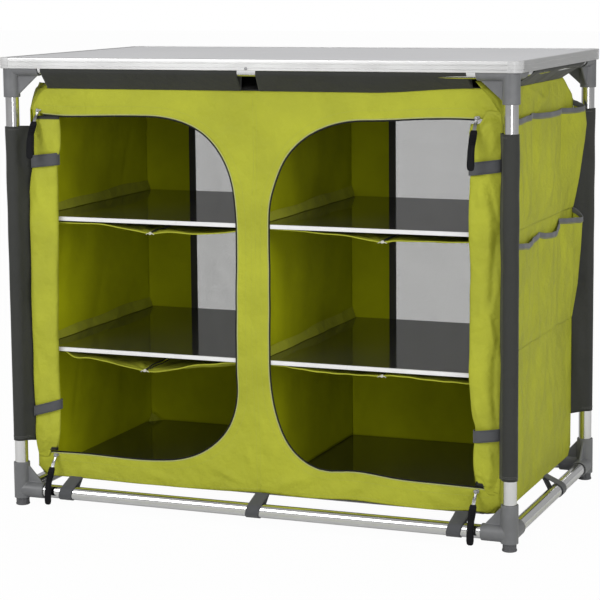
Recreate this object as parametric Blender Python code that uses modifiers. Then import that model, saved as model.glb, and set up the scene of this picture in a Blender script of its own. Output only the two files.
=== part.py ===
"""Camping cupboard: a tube frame with a table top and a sewn cloth cupboard of six compartments.

Metres, +Z up. The origin is on the ground under the middle of the table top.
-Y is the front, where the two doors are. +X is the right side, which has the pockets.
"""
import math

import bmesh
import bpy
from mathutils import Matrix, Vector

# Overall sizes
TABLE_WIDTH = 1.000
TABLE_DEPTH = 0.580
TABLE_HEIGHT = 0.850

# Space left between two pieces that touch
CLEARANCE = 0.0003

# Table top
RIM_HEIGHT = 0.020
RIM_WALL = 0.0012
RIM_LIP_WIDTH = 0.006
RIM_LIP_THICKNESS = 0.0007
RIM_CORNER_RADIUS = 0.016
BOARD_THICKNESS = 0.0037
BOARD_EDGE_RELIEF = 0.0004

# Tubes and the connectors that hold them
TUBE_DIAMETER = 0.025
TUBE_WALL = 0.0012
TUBE_SIDES = 16
LEG_INSET_X = 0.020
LEG_INSET_Y = 0.017
SOCKET_WALL = 0.0024
SOCKET_CHAMFER = 0.0012
LEG_SOCKET_EXTRA = 0.0003
SOCKET_DEPTH_STOP = 0.0150
LEG_STOP_WALL = 0.0018
ARM_START = 0.0011
PAD_THICKNESS = 0.0012
WEB_THICKNESS = 0.004
WEB_SETBACK = 0.009
WEB_SINK = 0.0015
BOSS_DEPTH = 0.0012
UPPER_ARM_LENGTH = 0.060
UPPER_SOCKET_LENGTH = 0.055
LOWER_ARM_LENGTH = 0.050
LOWER_SOCKET_LENGTH = 0.053

# Screw feet
FOOT_HEIGHT = 0.0135
FOOT_RADIUS = 0.0125
FOOT_SOLE_HEIGHT = 0.004
FOOT_SOLE_RADIUS = 0.0132
FOOT_FLUTES = 12
FOOT_FLUTE_DEPTH = 0.0007
STEM_RADIUS = 0.004
STEM_LENGTH = 0.022
STEM_HOLE_LENGTH = 0.025

# Cloth cupboard: how far its faces lie inside the axes of the legs and the rails
BODY_SIDE_INSET = 0.023
BODY_FRONT_INSET = 0.022
BODY_TOP_DROP = 0.039
BODY_BOTTOM_RISE = 0.0228
CLOTH = 0.0015
TOP_CUT_ACROSS = 0.032
TOP_CUT_DOWN = 0.075
TOP_CUT_STEPS = 5
BOTTOM_CUT = 0.030

# Door openings, shaped like a D with its round side to the middle, and the cloth left round them
DOOR_SIDE_MARGIN = 0.020
DOOR_TOP_MARGIN = 0.045
DOOR_BOTTOM_MARGIN = 0.047
DOOR_INNER_X = 0.028
DOOR_TOP_CURVE_ACROSS = 0.182
DOOR_TOP_CURVE_DOWN = 0.205
DOOR_BOTTOM_CURVE_ACROSS = 0.164
DOOR_BOTTOM_CURVE_UP = 0.165
DOOR_CURVE_POWER = 2.2
DOOR_CURVE_STEPS = 10

# Mesh windows in the rear panel
WINDOW_CENTRE_X = 0.220
WINDOW_WIDTH = 0.255
WINDOW_TOP_MARGIN = 0.047
WINDOW_BOTTOM_MARGIN = 0.209
WINDOW_CORNER_RADIUS = 0.030
NET_THICKNESS = 0.0008
NET_HEM = 0.015

# Shelf boards, with their heights above the cupboard's bottom
SHELF_RISES = {"lower": 0.251, "upper": 0.499}
SHELF_THICKNESS = 0.004
SHELF_LIP_HEIGHT = 0.007
SHELF_LIP_DEPTH = 0.004

# Slings under the shelf boards
SLING_THICKNESS = 0.001
SLING_SAG = 0.020
SLING_SAG_POWER = 1.5
SLING_EDGE_LIFT = 0.35
SLING_KNOT_WIDTH = 0.012
SLING_KNOT_DEPTH = 0.014
SLING_GAP = 0.026
SLING_COLUMNS = 6
SLING_ROWS = 8

# Sleeves round the upper rails, and loops round the lower rails
SLEEVE_WALL = 0.0014
FRONT_SLEEVE_MIDDLE_GAP = 0.040
FRONT_SLEEVE_END_GAP = 0.070
SIDE_SLEEVE_END_GAP = 0.083
LOOP_WIDTH = 0.026
LOOP_END_INSET = 0.075
LOOP_SIDE_Y = 0.060
LOOP_STEPS = 14

# Sleeves round the legs, with their ends measured from the cupboard's bottom and top
LEG_SLEEVE_BOTTOM_RISE = 0.072
LEG_SLEEVE_TOP_DROP = 0.070
LEG_SLEEVE_REAR_LIFT = 0.014
LEG_SLEEVE_CLOTH = 0.0012
LEG_SLEEVE_SEAM_GAP = 0.0009
LEG_SLEEVE_FOLD = 0.0022
LEG_SLEEVE_FOLD_COUNT = 2.5
LEG_SLEEVE_WEB_STEPS = 2
LEG_SLEEVE_ARC_STEPS = 10
LEG_SLEEVE_ROWS = 10

# Rolled up doors
ROLL_CLOTH = 0.0008
ROLL_PITCH = 0.0013
ROLL_HALF_WIDTH = 0.0265
ROLL_HALF_DEPTH = 0.0064
ROLL_REACH = 0.034
ROLL_SEAM_MARGIN = 0.008
ROLL_TURNS = 3.75
ROLL_STEPS_PER_TURN = 12
ROLL_ROWS = 4
ROLL_END_GAP = 0.011

# Zip sliders and their pulls
SLIDER_WIDTH = 0.010
SLIDER_HEIGHT = 0.008
SLIDER_DEPTH = 0.006
SLIDER_TAPER = 0.0025
PIN_RADIUS = 0.001
PIN_HEAD_RADIUS = 0.0022
PIN_HEAD_DEPTH = 0.0012
PULL_WIDTH = 0.013
PULL_THICKNESS = 0.0012
PULL_LENGTH = 0.088
PULL_EYE_TOP = 0.004
PULL_EYE_BOTTOM = 0.006
PULL_SHOULDER = 0.014
PULL_SHOULDER_GAP = 0.0016
PULL_SLANT_BOTTOM = 0.055
PULL_TUBE_GAP = 0.0004
PIN_SIDES = 10
# Where each slider is parked: side, edge of the doorway and distance from its outer corner
SLIDERS = {
    "left_top": (-1, "top", 0.001),
    "left_bottom": (-1, "bottom", 0.021),
    "right_top": (1, "top", 0.023),
    "right_bottom": (1, "bottom", 0.023),
}

# Pockets on the right side: each row's drop below the cupboard's top, and its height
POCKET_CLOTH = 0.001
POCKET_BULGE = 0.012
POCKET_BULGE_POWER = 0.7
POCKET_FRONT_MARGIN = 0.011
POCKET_REAR_MARGIN = 0.009
POCKET_MIDDLE_SEAMS = (-0.045, 0.140)
POCKET_ROWS = {"upper": (0.055, 0.192), "lower": (0.272, 0.190)}
POCKET_TOP_SAG = 0.007
POCKET_STEPS_ACROSS = 5
POCKET_STEPS_UP = 5

# Sizes that follow from those above
LEG_X = TABLE_WIDTH / 2 - LEG_INSET_X
LEG_Y = TABLE_DEPTH / 2 - LEG_INSET_Y
TUBE_RADIUS = TUBE_DIAMETER / 2
BORE_RADIUS = TUBE_RADIUS + CLEARANCE
SOCKET_RADIUS = BORE_RADIUS + SOCKET_WALL
BOARD_TOP = TABLE_HEIGHT - RIM_LIP_THICKNESS - CLEARANCE
BOARD_BOTTOM = BOARD_TOP - BOARD_THICKNESS
PAD_TOP = BOARD_BOTTOM - CLEARANCE
UPPER_RAIL_Z = PAD_TOP - PAD_THICKNESS - BORE_RADIUS
LOWER_BOSS_END = SOCKET_RADIUS + BOSS_DEPTH
LOWER_RAIL_Z = FOOT_HEIGHT + CLEARANCE + LOWER_BOSS_END
BODY_HALF_WIDTH = LEG_X - BODY_SIDE_INSET
BODY_HALF_DEPTH = LEG_Y - BODY_FRONT_INSET
BODY_TOP = UPPER_RAIL_Z - BODY_TOP_DROP
BODY_BOTTOM = LOWER_RAIL_Z + BODY_BOTTOM_RISE
INNER_HALF_WIDTH = BODY_HALF_WIDTH - CLOTH
INNER_HALF_DEPTH = BODY_HALF_DEPTH - CLOTH
WALL_BOTTOM = BODY_BOTTOM + CLOTH + CLEARANCE
BAY_INNER_X = CLOTH / 2 + CLEARANCE
BAY_OUTER_X = INNER_HALF_WIDTH - CLEARANCE
BAY_CENTRE_X = (BAY_INNER_X + BAY_OUTER_X) / 2
BAY_HALF_DEPTH = INNER_HALF_DEPTH - CLEARANCE
DOOR_OUTER_X = BODY_HALF_WIDTH - DOOR_SIDE_MARGIN
DOOR_TOP = BODY_TOP - DOOR_TOP_MARGIN
DOOR_BOTTOM = BODY_BOTTOM + DOOR_BOTTOM_MARGIN
WINDOW_TOP = BODY_TOP - WINDOW_TOP_MARGIN
WINDOW_BOTTOM = BODY_BOTTOM + WINDOW_BOTTOM_MARGIN
LEG_SLEEVE_BOTTOM = BODY_BOTTOM + LEG_SLEEVE_BOTTOM_RISE
LEG_SLEEVE_TOP = BODY_TOP - LEG_SLEEVE_TOP_DROP
ROLL_INNER_EDGE_X = DOOR_OUTER_X - ROLL_REACH
ROLL_SEAM_X = BODY_HALF_WIDTH - ROLL_SEAM_MARGIN
ROLL_FRONT_Y = BODY_HALF_DEPTH + CLEARANCE + ROLL_CLOTH + 2 * ROLL_HALF_DEPTH
PULL_PLANE_Y = LEG_Y + SOCKET_RADIUS + PULL_TUBE_GAP + PULL_THICKNESS / 2

PARTS = None
CUTTERS = None


def clear_scene():
    """Empty the scene, and make a collection for the parts and one for the cutters."""
    global PARTS, CUTTERS
    for item in list(bpy.data.objects):
        bpy.data.objects.remove(item, do_unlink=True)
    PARTS = bpy.data.collections.new("camping_cupboard")
    CUTTERS = bpy.data.collections.new("cutters")
    for collection in (PARTS, CUTTERS):
        bpy.context.scene.collection.children.link(collection)


def make_material(name, color, roughness, metallic=0.0):
    """A Principled material in one colour."""
    material = bpy.data.materials.new(name)
    material.use_nodes = True
    shader = material.node_tree.nodes["Principled BSDF"]
    shader.inputs["Base Color"].default_value = (*color, 1.0)
    shader.inputs["Roughness"].default_value = roughness
    shader.inputs["Metallic"].default_value = metallic
    return material


def add_part(name, data, material, matrix=None):
    """Link a mesh or curve into the model as one named part."""
    part = bpy.data.objects.new(name, data)
    PARTS.objects.link(part)
    if matrix is not None:
        part.matrix_world = matrix
    if material is not None:
        data.materials.clear()
        data.materials.append(material)
    return part


def add_tool(name, data, matrix=None):
    """Link a mesh as a hidden tool for Boolean modifiers."""
    tool = bpy.data.objects.new(name, data)
    CUTTERS.objects.link(tool)
    tool.hide_render = True
    tool.display_type = "WIRE"
    if matrix is not None:
        tool.matrix_world = matrix
    return tool


def mesh_from(bm, name):
    """A mesh datablock from a bmesh, with round sides shaded smooth."""
    mesh = bpy.data.meshes.new(name)
    bm.to_mesh(mesh)
    bm.free()
    mesh.shade_smooth()
    mesh.set_sharp_from_angle(angle=math.radians(40))
    return mesh


def box_mesh(name, low, high):
    """A box from its lowest and highest corners."""
    low, high = Vector(low), Vector(high)
    bm = bmesh.new()
    size = Matrix.Diagonal((*(high - low), 1.0))
    bmesh.ops.create_cube(bm, size=1.0, matrix=Matrix.Translation((low + high) / 2) @ size)
    return mesh_from(bm, name)


def turn_to(direction):
    """The rotation that takes +Z to a direction, with no twist left to chance."""
    return Vector(direction).to_track_quat("Z", "Y").to_matrix().to_4x4()


def cylinder_mesh(name, start, end, radius, sides=TUBE_SIDES):
    """A capped cylinder between two points."""
    start, end = Vector(start), Vector(end)
    axis = end - start
    bm = bmesh.new()
    place = Matrix.Translation((start + end) / 2) @ turn_to(axis)
    bmesh.ops.create_cone(bm, cap_ends=True, segments=sides, radius1=radius, radius2=radius,
                          depth=axis.length, matrix=place)
    return mesh_from(bm, name)


def turned_object(name, profile, sides=TUBE_SIDES):
    """A profile of (radius, height) points, from the top down, turned round Z with Screw."""
    mesh = bpy.data.meshes.new(name)
    points = [(radius, 0.0, height) for radius, height in profile]
    mesh.from_pydata(points, [(i, i + 1) for i in range(len(points) - 1)], [])
    turned = add_tool(name, mesh)
    screw = turned.modifiers.new("turn", "SCREW")
    screw.axis = "Z"
    screw.steps = sides
    screw.render_steps = sides
    screw.use_merge_vertices = True
    screw.merge_threshold = 0.00001
    return turned


def outline_curve(name, loops, thickness):
    """A flat outline in XY, with any further loops as holes, extruded to a thickness about Z = 0."""
    curve = bpy.data.curves.new(name, "CURVE")
    curve.dimensions = "2D"
    curve.fill_mode = "BOTH"
    curve.extrude = thickness / 2
    for loop in loops:
        spline = curve.splines.new("POLY")
        spline.points.add(len(loop) - 1)
        for point, (x, y) in zip(spline.points, loop):
            point.co = (x, y, 0.0, 1.0)
        spline.use_cyclic_u = True
    return curve


# Planes for flat outlines: the outline's X and Y become the two named axes
PLANE_XZ = Matrix.Rotation(math.radians(90), 4, "X")
PLANE_YZ = Matrix.Rotation(math.radians(90), 4, "Z") @ Matrix.Rotation(math.radians(90), 4, "X")


def baked_mesh(item, name, weld=0.00001):
    """The evaluated shape of an object as a plain welded mesh in world space; the object goes."""
    bpy.context.view_layer.update()
    graph = bpy.context.evaluated_depsgraph_get()
    mesh = bpy.data.meshes.new_from_object(item.evaluated_get(graph))
    mesh.transform(item.matrix_world)
    bm = bmesh.new()
    bm.from_mesh(mesh)
    bmesh.ops.remove_doubles(bm, verts=bm.verts, dist=weld)
    bmesh.ops.dissolve_limit(bm, angle_limit=math.radians(0.05), verts=bm.verts, edges=bm.edges)
    bpy.data.objects.remove(item, do_unlink=True)
    bpy.data.meshes.remove(mesh)
    return mesh_from(bm, name)


def outline_tool(name, loops, thickness, matrix):
    """A flat outline as a welded mesh tool."""
    curve_object = bpy.data.objects.new(name, outline_curve(name, loops, thickness))
    CUTTERS.objects.link(curve_object)
    curve_object.matrix_world = matrix
    return add_tool(name, baked_mesh(curve_object, name))


def combine(target, tools, operation):
    """Add Boolean modifiers that join tools to a target or cut them out of it."""
    for tool in tools:
        change = target.modifiers.new(operation.lower(), "BOOLEAN")
        change.operation = operation
        change.solver = "EXACT"
        change.object = tool


def rounded_rectangle(half_x, half_y, radius, steps=6, centre=(0.0, 0.0)):
    """The points of a rectangle with round corners, anticlockwise."""
    points = []
    corners = ((1, 1, 0), (-1, 1, 90), (-1, -1, 180), (1, -1, 270))
    for sign_x, sign_y, start in corners:
        for i in range(steps + 1):
            angle = math.radians(start + 90 * i / steps)
            x = centre[0] + sign_x * (half_x - radius) + radius * math.cos(angle)
            y = centre[1] + sign_y * (half_y - radius) + radius * math.sin(angle)
            points.append((x, y))
    return points


def cloth_sheet(name, columns, rows, place, thickness, keep=None):
    """A grid moved onto a surface and thickened to both sides.

    place(u, v) gives the point for u across and v up, both 0 to 1.
    keep(column, row), where given, says which cells of the grid are cloth.
    """
    bm = bmesh.new()
    bmesh.ops.create_grid(bm, x_segments=columns, y_segments=rows, size=0.5)
    if keep is not None:
        gone = []
        for face in bm.faces:
            centre = face.calc_center_median()
            column = int((centre.x + 0.5) * columns)
            row = int((centre.y + 0.5) * rows)
            if not keep(column, row):
                gone.append(face)
        bmesh.ops.delete(bm, geom=gone, context="FACES")
    for vertex in bm.verts:
        vertex.co = Vector(place(vertex.co.x + 0.5, vertex.co.y + 0.5))
    sheet = add_part(name, mesh_from(bm, name), None)
    wall = sheet.modifiers.new("cloth", "SOLIDIFY")
    wall.thickness = thickness
    wall.offset = 0.0
    wall.use_even_offset = True
    return sheet


def build_table_top(materials):
    """The board, and the rim round it: a wall outside and a thin lip over the board's relieved edge."""
    half_x, half_y = TABLE_WIDTH / 2, TABLE_DEPTH / 2
    inner_radius = RIM_CORNER_RADIUS - RIM_WALL
    window_radius = RIM_CORNER_RADIUS - RIM_LIP_WIDTH

    def slab(name, inset, radius, bottom, top):
        loop = rounded_rectangle(half_x - inset, half_y - inset, radius)
        return outline_tool(name, [loop], top - bottom, Matrix.Translation((0, 0, (bottom + top) / 2)))

    edge_top = BOARD_TOP - BOARD_EDGE_RELIEF
    board = slab("board_blank", RIM_WALL + CLEARANCE, inner_radius - CLEARANCE, BOARD_BOTTOM, edge_top)
    middle = (BOARD_BOTTOM + BOARD_TOP) / 2
    field = slab("board_field", RIM_LIP_WIDTH + CLEARANCE, window_radius - CLEARANCE, middle, BOARD_TOP)
    combine(board, [field], "UNION")
    add_part("top_board", baked_mesh(board, "top_board"), materials["laminate"])

    rim = slab("rim_blank", 0.0, RIM_CORNER_RADIUS, TABLE_HEIGHT - RIM_HEIGHT, TABLE_HEIGHT)
    below = TABLE_HEIGHT - RIM_HEIGHT - RIM_LIP_WIDTH
    pocket = slab("rim_pocket", RIM_WALL, inner_radius, below, TABLE_HEIGHT - RIM_LIP_THICKNESS)
    window = slab("rim_window", RIM_LIP_WIDTH, window_radius, below, TABLE_HEIGHT + RIM_LIP_WIDTH)
    combine(rim, [pocket, window], "DIFFERENCE")
    add_part("top_rim", baked_mesh(rim, "top_rim"), materials["aluminium"])


def socket_profile(radius, start, mouth):
    """A socket turned about its axis, from start up to its mouth, which has a chamfer."""
    return [(0.0, mouth), (radius - SOCKET_CHAMFER, mouth), (radius, mouth - SOCKET_CHAMFER), (radius, start), (0.0, start)]


def connector_mesh(name, arm_length, socket_length, upright):
    """A three way connector for the corner at +X +Y, with its tube axes crossing at the origin.

    The two arms point to -X and -Y. The leg socket points up where upright is 1, down where it is -1.
    """
    directions = {"x": (-1, 0, 0), "y": (0, -1, 0), "leg": (0, 0, upright)}
    lengths = {"x": arm_length, "y": arm_length, "leg": socket_length}
    end = PAD_TOP - UPPER_RAIL_Z if upright < 0 else LOWER_BOSS_END
    solids = []
    for key, direction in directions.items():
        if key == "leg":
            profile = socket_profile(SOCKET_RADIUS + LEG_SOCKET_EXTRA, -end, lengths[key])
        else:
            profile = socket_profile(SOCKET_RADIUS, ARM_START, lengths[key])
        arm = turned_object(name + "_" + key, profile)
        arm.matrix_world = turn_to(direction)
        solids.append(add_tool(name + "_" + key, baked_mesh(arm, name + "_" + key)))
    body = solids.pop()
    inside = SOCKET_RADIUS / 4
    root = SOCKET_RADIUS - WEB_SINK
    web = [(-inside, upright * inside), (-(arm_length - WEB_SETBACK), upright * root),
           (-root, upright * (socket_length - WEB_SETBACK))]
    if upright > 0:
        web.reverse()
    solids.append(outline_tool(name + "_web_x", [web], WEB_THICKNESS, PLANE_XZ))
    solids.append(outline_tool(name + "_web_y", [web], WEB_THICKNESS, PLANE_YZ))
    combine(body, solids, "UNION")
    bores = []
    for key, direction in directions.items():
        along = Vector(direction)
        start = SOCKET_DEPTH_STOP if key != "leg" else BORE_RADIUS + LEG_STOP_WALL
        mouth = lengths[key] + SOCKET_WALL
        bore = cylinder_mesh(name + "_bore_" + key, along * start, along * mouth, BORE_RADIUS)
        bores.append(add_tool(name + "_bore_" + key, bore))
    if upright < 0:
        reach = arm_length + SOCKET_RADIUS * 2
        top = box_mesh(name + "_pad", (-reach, -reach, end), (reach, reach, end + reach))
        bores.append(add_tool(name + "_pad", top))
    else:
        hole_radius = STEM_RADIUS + CLEARANCE
        low = -LOWER_BOSS_END
        ends = (0, 0, low - SOCKET_WALL), (0, 0, low + STEM_HOLE_LENGTH)
        hole = cylinder_mesh(name + "_stem_hole", *ends, hole_radius, 12)
        bores.append(add_tool(name + "_stem_hole", hole))
    combine(body, bores, "DIFFERENCE")
    return baked_mesh(body, name)


def corners():
    """The four corners: name, sign along X, sign along Y and the turn from the +X +Y corner."""
    return (("rear_right", 1, 1, 0), ("rear_left", -1, 1, 90), ("front_left", -1, -1, 180), ("front_right", 1, -1, 270))


def build_connectors(materials):
    """Eight connectors from two shapes, each turned to its corner."""
    upper = connector_mesh("upper_connector", UPPER_ARM_LENGTH, UPPER_SOCKET_LENGTH, -1)
    lower = connector_mesh("lower_connector", LOWER_ARM_LENGTH, LOWER_SOCKET_LENGTH, 1)
    for corner, sign_x, sign_y, turn in corners():
        for kind, mesh, height in (("upper", upper, UPPER_RAIL_Z), ("lower", lower, LOWER_RAIL_Z)):
            place = Matrix.Translation((sign_x * LEG_X, sign_y * LEG_Y, height))
            place = place @ Matrix.Rotation(math.radians(turn), 4, "Z")
            add_part(kind + "_connector_" + corner, mesh, materials["connector"], place)


def tube_mesh(name, start, end):
    """A round tube between two points, open at both ends."""
    start, end = Vector(start), Vector(end)
    axis = end - start
    half = axis.length / 2
    bore = TUBE_RADIUS - TUBE_WALL
    tube = turned_object(name, [(bore, -half), (bore, half), (TUBE_RADIUS, half), (TUBE_RADIUS, -half), (bore, -half)])
    tube.matrix_world = Matrix.Translation((start + end) / 2) @ turn_to(axis)
    return baked_mesh(tube, name)


def build_tubes(materials):
    """Four legs and eight rails, each ending inside its sockets."""
    stop = SOCKET_DEPTH_STOP + CLEARANCE
    leg_stop = BORE_RADIUS + LEG_STOP_WALL + CLEARANCE
    for corner, sign_x, sign_y, _ in corners():
        foot = (sign_x * LEG_X, sign_y * LEG_Y, LOWER_RAIL_Z + leg_stop)
        head = (sign_x * LEG_X, sign_y * LEG_Y, UPPER_RAIL_Z - leg_stop)
        name = "leg_tube_" + corner
        add_part(name, tube_mesh(name, foot, head), materials["aluminium"])
    for level, height in (("upper", UPPER_RAIL_Z), ("lower", LOWER_RAIL_Z)):
        for side, sign in (("front", -1), ("rear", 1)):
            name = level + "_rail_" + side
            ends = [(x * (LEG_X - stop), sign * LEG_Y, height) for x in (-1, 1)]
            add_part(name, tube_mesh(name, *ends), materials["aluminium"])
        for side, sign in (("left", -1), ("right", 1)):
            name = level + "_rail_" + side
            ends = [(sign * LEG_X, y * (LEG_Y - stop), height) for y in (-1, 1)]
            add_part(name, tube_mesh(name, *ends), materials["aluminium"])


def build_feet(materials):
    """Four screw feet: a round sole, a fluted grip and a stem, joined."""
    ring = []
    count = FOOT_FLUTES * 4
    for i in range(count):
        angle = 2 * math.pi * i / count
        radius = FOOT_RADIUS - FOOT_FLUTE_DEPTH * (1 - math.cos(FOOT_FLUTES * angle)) / 2
        ring.append((radius * math.cos(angle), radius * math.sin(angle)))
    grip_bottom = FOOT_SOLE_HEIGHT * 0.75
    middle = Matrix.Translation((0, 0, (grip_bottom + FOOT_HEIGHT) / 2))
    body = outline_tool("foot_grip", [ring], FOOT_HEIGHT - grip_bottom, middle)
    edge = FOOT_SOLE_HEIGHT / 4
    sole = turned_object("foot_sole", [(0.0, FOOT_SOLE_HEIGHT), (FOOT_SOLE_RADIUS - edge, FOOT_SOLE_HEIGHT),
                                       (FOOT_SOLE_RADIUS, FOOT_SOLE_HEIGHT - edge), (FOOT_SOLE_RADIUS, edge),
                                       (FOOT_SOLE_RADIUS - edge, 0.0), (0.0, 0.0)], 20)
    sole = add_tool("foot_sole", baked_mesh(sole, "foot_sole"))
    stem = cylinder_mesh("foot_stem", (0, 0, FOOT_SOLE_HEIGHT), (0, 0, FOOT_HEIGHT + STEM_LENGTH), STEM_RADIUS, 12)
    combine(body, [sole, add_tool("foot_stem", stem)], "UNION")
    foot = baked_mesh(body, "foot")
    for corner, sign_x, sign_y, _ in corners():
        add_part("foot_" + corner, foot, materials["foot"], Matrix.Translation((sign_x * LEG_X, sign_y * LEG_Y, 0)))


def panel_outline(half_width):
    """A cloth wall seen square on: the top corners cut by an arc, the bottom ones straight."""
    low, high = WALL_BOTTOM, BODY_TOP
    points = [(half_width - BOTTOM_CUT, low), (half_width, low + BOTTOM_CUT)]
    for i in range(TOP_CUT_STEPS + 1):
        angle = math.radians(90 * i / TOP_CUT_STEPS)
        x = half_width - TOP_CUT_ACROSS + TOP_CUT_ACROSS * math.cos(angle)
        points.append((x, high - TOP_CUT_DOWN + TOP_CUT_DOWN * math.sin(angle)))
    return points + [(-x, z) for x, z in reversed(points)]


def door_curve(across, down, share):
    """A point of the D's round corner, from its flat end at share 0 to its upright end at share 1."""
    angle = math.radians(90 * share)
    power = 2 / DOOR_CURVE_POWER
    return across * math.sin(angle) ** power, down * math.cos(angle) ** power


def door_outline(side):
    """One door opening, on the left where side is -1 and on the right where it is 1."""
    points = [(DOOR_OUTER_X, DOOR_BOTTOM), (DOOR_OUTER_X, DOOR_TOP)]
    for i in range(DOOR_CURVE_STEPS + 1):
        across, down = door_curve(DOOR_TOP_CURVE_ACROSS, DOOR_TOP_CURVE_DOWN, i / DOOR_CURVE_STEPS)
        x = DOOR_INNER_X + DOOR_TOP_CURVE_ACROSS - across
        points.append((x, DOOR_TOP - DOOR_TOP_CURVE_DOWN + down))
    for i in range(DOOR_CURVE_STEPS, -1, -1):
        across, up = door_curve(DOOR_BOTTOM_CURVE_ACROSS, DOOR_BOTTOM_CURVE_UP, i / DOOR_CURVE_STEPS)
        x = DOOR_INNER_X + DOOR_BOTTOM_CURVE_ACROSS - across
        points.append((x, DOOR_BOTTOM + DOOR_BOTTOM_CURVE_UP - up))
    return [(side * x, z) for x, z in points]


def door_edge_heights(distance):
    """Bottom and top of the door cloth at a distance from its sewn edge."""
    x = max(DOOR_OUTER_X - distance, DOOR_INNER_X)
    heights = []
    for across, rise, base, sign in (
            (DOOR_BOTTOM_CURVE_ACROSS, DOOR_BOTTOM_CURVE_UP, DOOR_BOTTOM, 1),
            (DOOR_TOP_CURVE_ACROSS, DOOR_TOP_CURVE_DOWN, DOOR_TOP, -1)):
        inside = max(0.0, DOOR_INNER_X + across - x) / across
        level = (1 - min(1.0, inside) ** DOOR_CURVE_POWER) ** (1 / DOOR_CURVE_POWER)
        heights.append(base + sign * rise * (1 - level))
    return heights


def build_walls(materials):
    """Front panel with two doorways, rear panel with two windows, two sides, divider and net."""
    middle_y = BODY_HALF_DEPTH - CLOTH / 2
    front = outline_curve("front_panel", [panel_outline(BODY_HALF_WIDTH), door_outline(-1), door_outline(1)], CLOTH)
    add_part("front_panel", front, materials["green"], Matrix.Translation((0, -middle_y, 0)) @ PLANE_XZ)

    window_middle = (WINDOW_BOTTOM + WINDOW_TOP) / 2
    half_height = (WINDOW_TOP - WINDOW_BOTTOM) / 2
    windows = []
    for side in (-1, 1):
        centre = (side * WINDOW_CENTRE_X, window_middle)
        windows.append(rounded_rectangle(WINDOW_WIDTH / 2, half_height, WINDOW_CORNER_RADIUS, 4, centre))
    rear = outline_curve("rear_panel", [panel_outline(BODY_HALF_WIDTH)] + windows, CLOTH)
    add_part("rear_panel", rear, materials["green"], Matrix.Translation((0, middle_y, 0)) @ PLANE_XZ)

    net_half_width = WINDOW_CENTRE_X + WINDOW_WIDTH / 2 + NET_HEM
    net_y = BODY_HALF_DEPTH + CLEARANCE
    net_low = (-net_half_width, net_y, WINDOW_BOTTOM - NET_HEM)
    net_high = (net_half_width, net_y + NET_THICKNESS, WINDOW_TOP + NET_HEM)
    add_part("rear_mesh", box_mesh("rear_mesh", net_low, net_high), materials["net"])

    middle_x = BODY_HALF_WIDTH - CLOTH / 2
    for side, sign in (("left", -1), ("right", 1)):
        name = side + "_side_panel"
        panel = outline_curve(name, [panel_outline(BAY_HALF_DEPTH)], CLOTH)
        add_part(name, panel, materials["green"], Matrix.Translation((sign * middle_x, 0, 0)) @ PLANE_YZ)
    divider = box_mesh("centre_divider", (-CLOTH / 2, -BAY_HALF_DEPTH, WALL_BOTTOM), (CLOTH / 2, BAY_HALF_DEPTH, BODY_TOP))
    add_part("centre_divider", divider, materials["green"])


def cut_corner_plate(cut):
    """The cupboard's plan outline with its four corners cut off straight."""
    x, y = BODY_HALF_WIDTH, BODY_HALF_DEPTH
    points = []
    for sign_x, sign_y in ((1, 1), (-1, 1), (-1, -1), (1, -1)):
        pair = [(sign_x * x, sign_y * (y - cut)), (sign_x * (x - cut), sign_y * y)]
        if sign_x * sign_y < 0:
            pair.reverse()
        points += pair
    return points


def loop_outline(anchor, thickness):
    """A strap that rings a tube at (0, 0) and runs off to an anchor point: outline and hole."""
    anchor = Vector(anchor)
    along = anchor.normalized()
    across = Vector((-along.y, along.x))
    outer = BORE_RADIUS + thickness
    reach = math.sqrt(outer ** 2 - thickness ** 2 / 4)
    opening = math.atan2(thickness / 2, reach)
    points = [anchor - across * thickness / 2]
    base = math.atan2(along.y, along.x)
    ring = []
    for i in range(LOOP_STEPS + 1):
        angle = base - opening - (2 * math.pi - 2 * opening) * i / LOOP_STEPS
        ring.append(Vector((math.cos(angle), math.sin(angle))) * outer)
    points += ring + [anchor + across * thickness / 2]
    hole = [(BORE_RADIUS * math.cos(2 * math.pi * i / TUBE_SIDES), BORE_RADIUS * math.sin(2 * math.pi * i / TUBE_SIDES))
            for i in range(TUBE_SIDES)]
    return [[tuple(point) for point in points], hole]


def rail_loops(label, edge_z, rail_z, thickness, along_x, along_y):
    """Loops from the cupboard's edge to the four rails round it.

    along_x lists (low, high) spans on the front and rear rails, along_y those on the side rails.
    """
    loops = []
    bite = thickness
    for sign in (-1, 1):
        anchor = (-sign * (LEG_Y - BODY_HALF_DEPTH + bite), edge_z - rail_z)
        outline = loop_outline(anchor, thickness)
        for low, high in along_x:
            place = Matrix.Translation(((low + high) / 2, sign * LEG_Y, rail_z)) @ PLANE_YZ
            loops.append(outline_tool(label, outline, high - low, place))
        anchor = (-sign * (LEG_X - BODY_HALF_WIDTH + bite), edge_z - rail_z)
        outline = loop_outline(anchor, thickness)
        for low, high in along_y:
            place = Matrix.Translation((sign * LEG_X, (low + high) / 2, rail_z)) @ PLANE_XZ
            loops.append(outline_tool(label, outline, high - low, place))
    return loops


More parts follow.
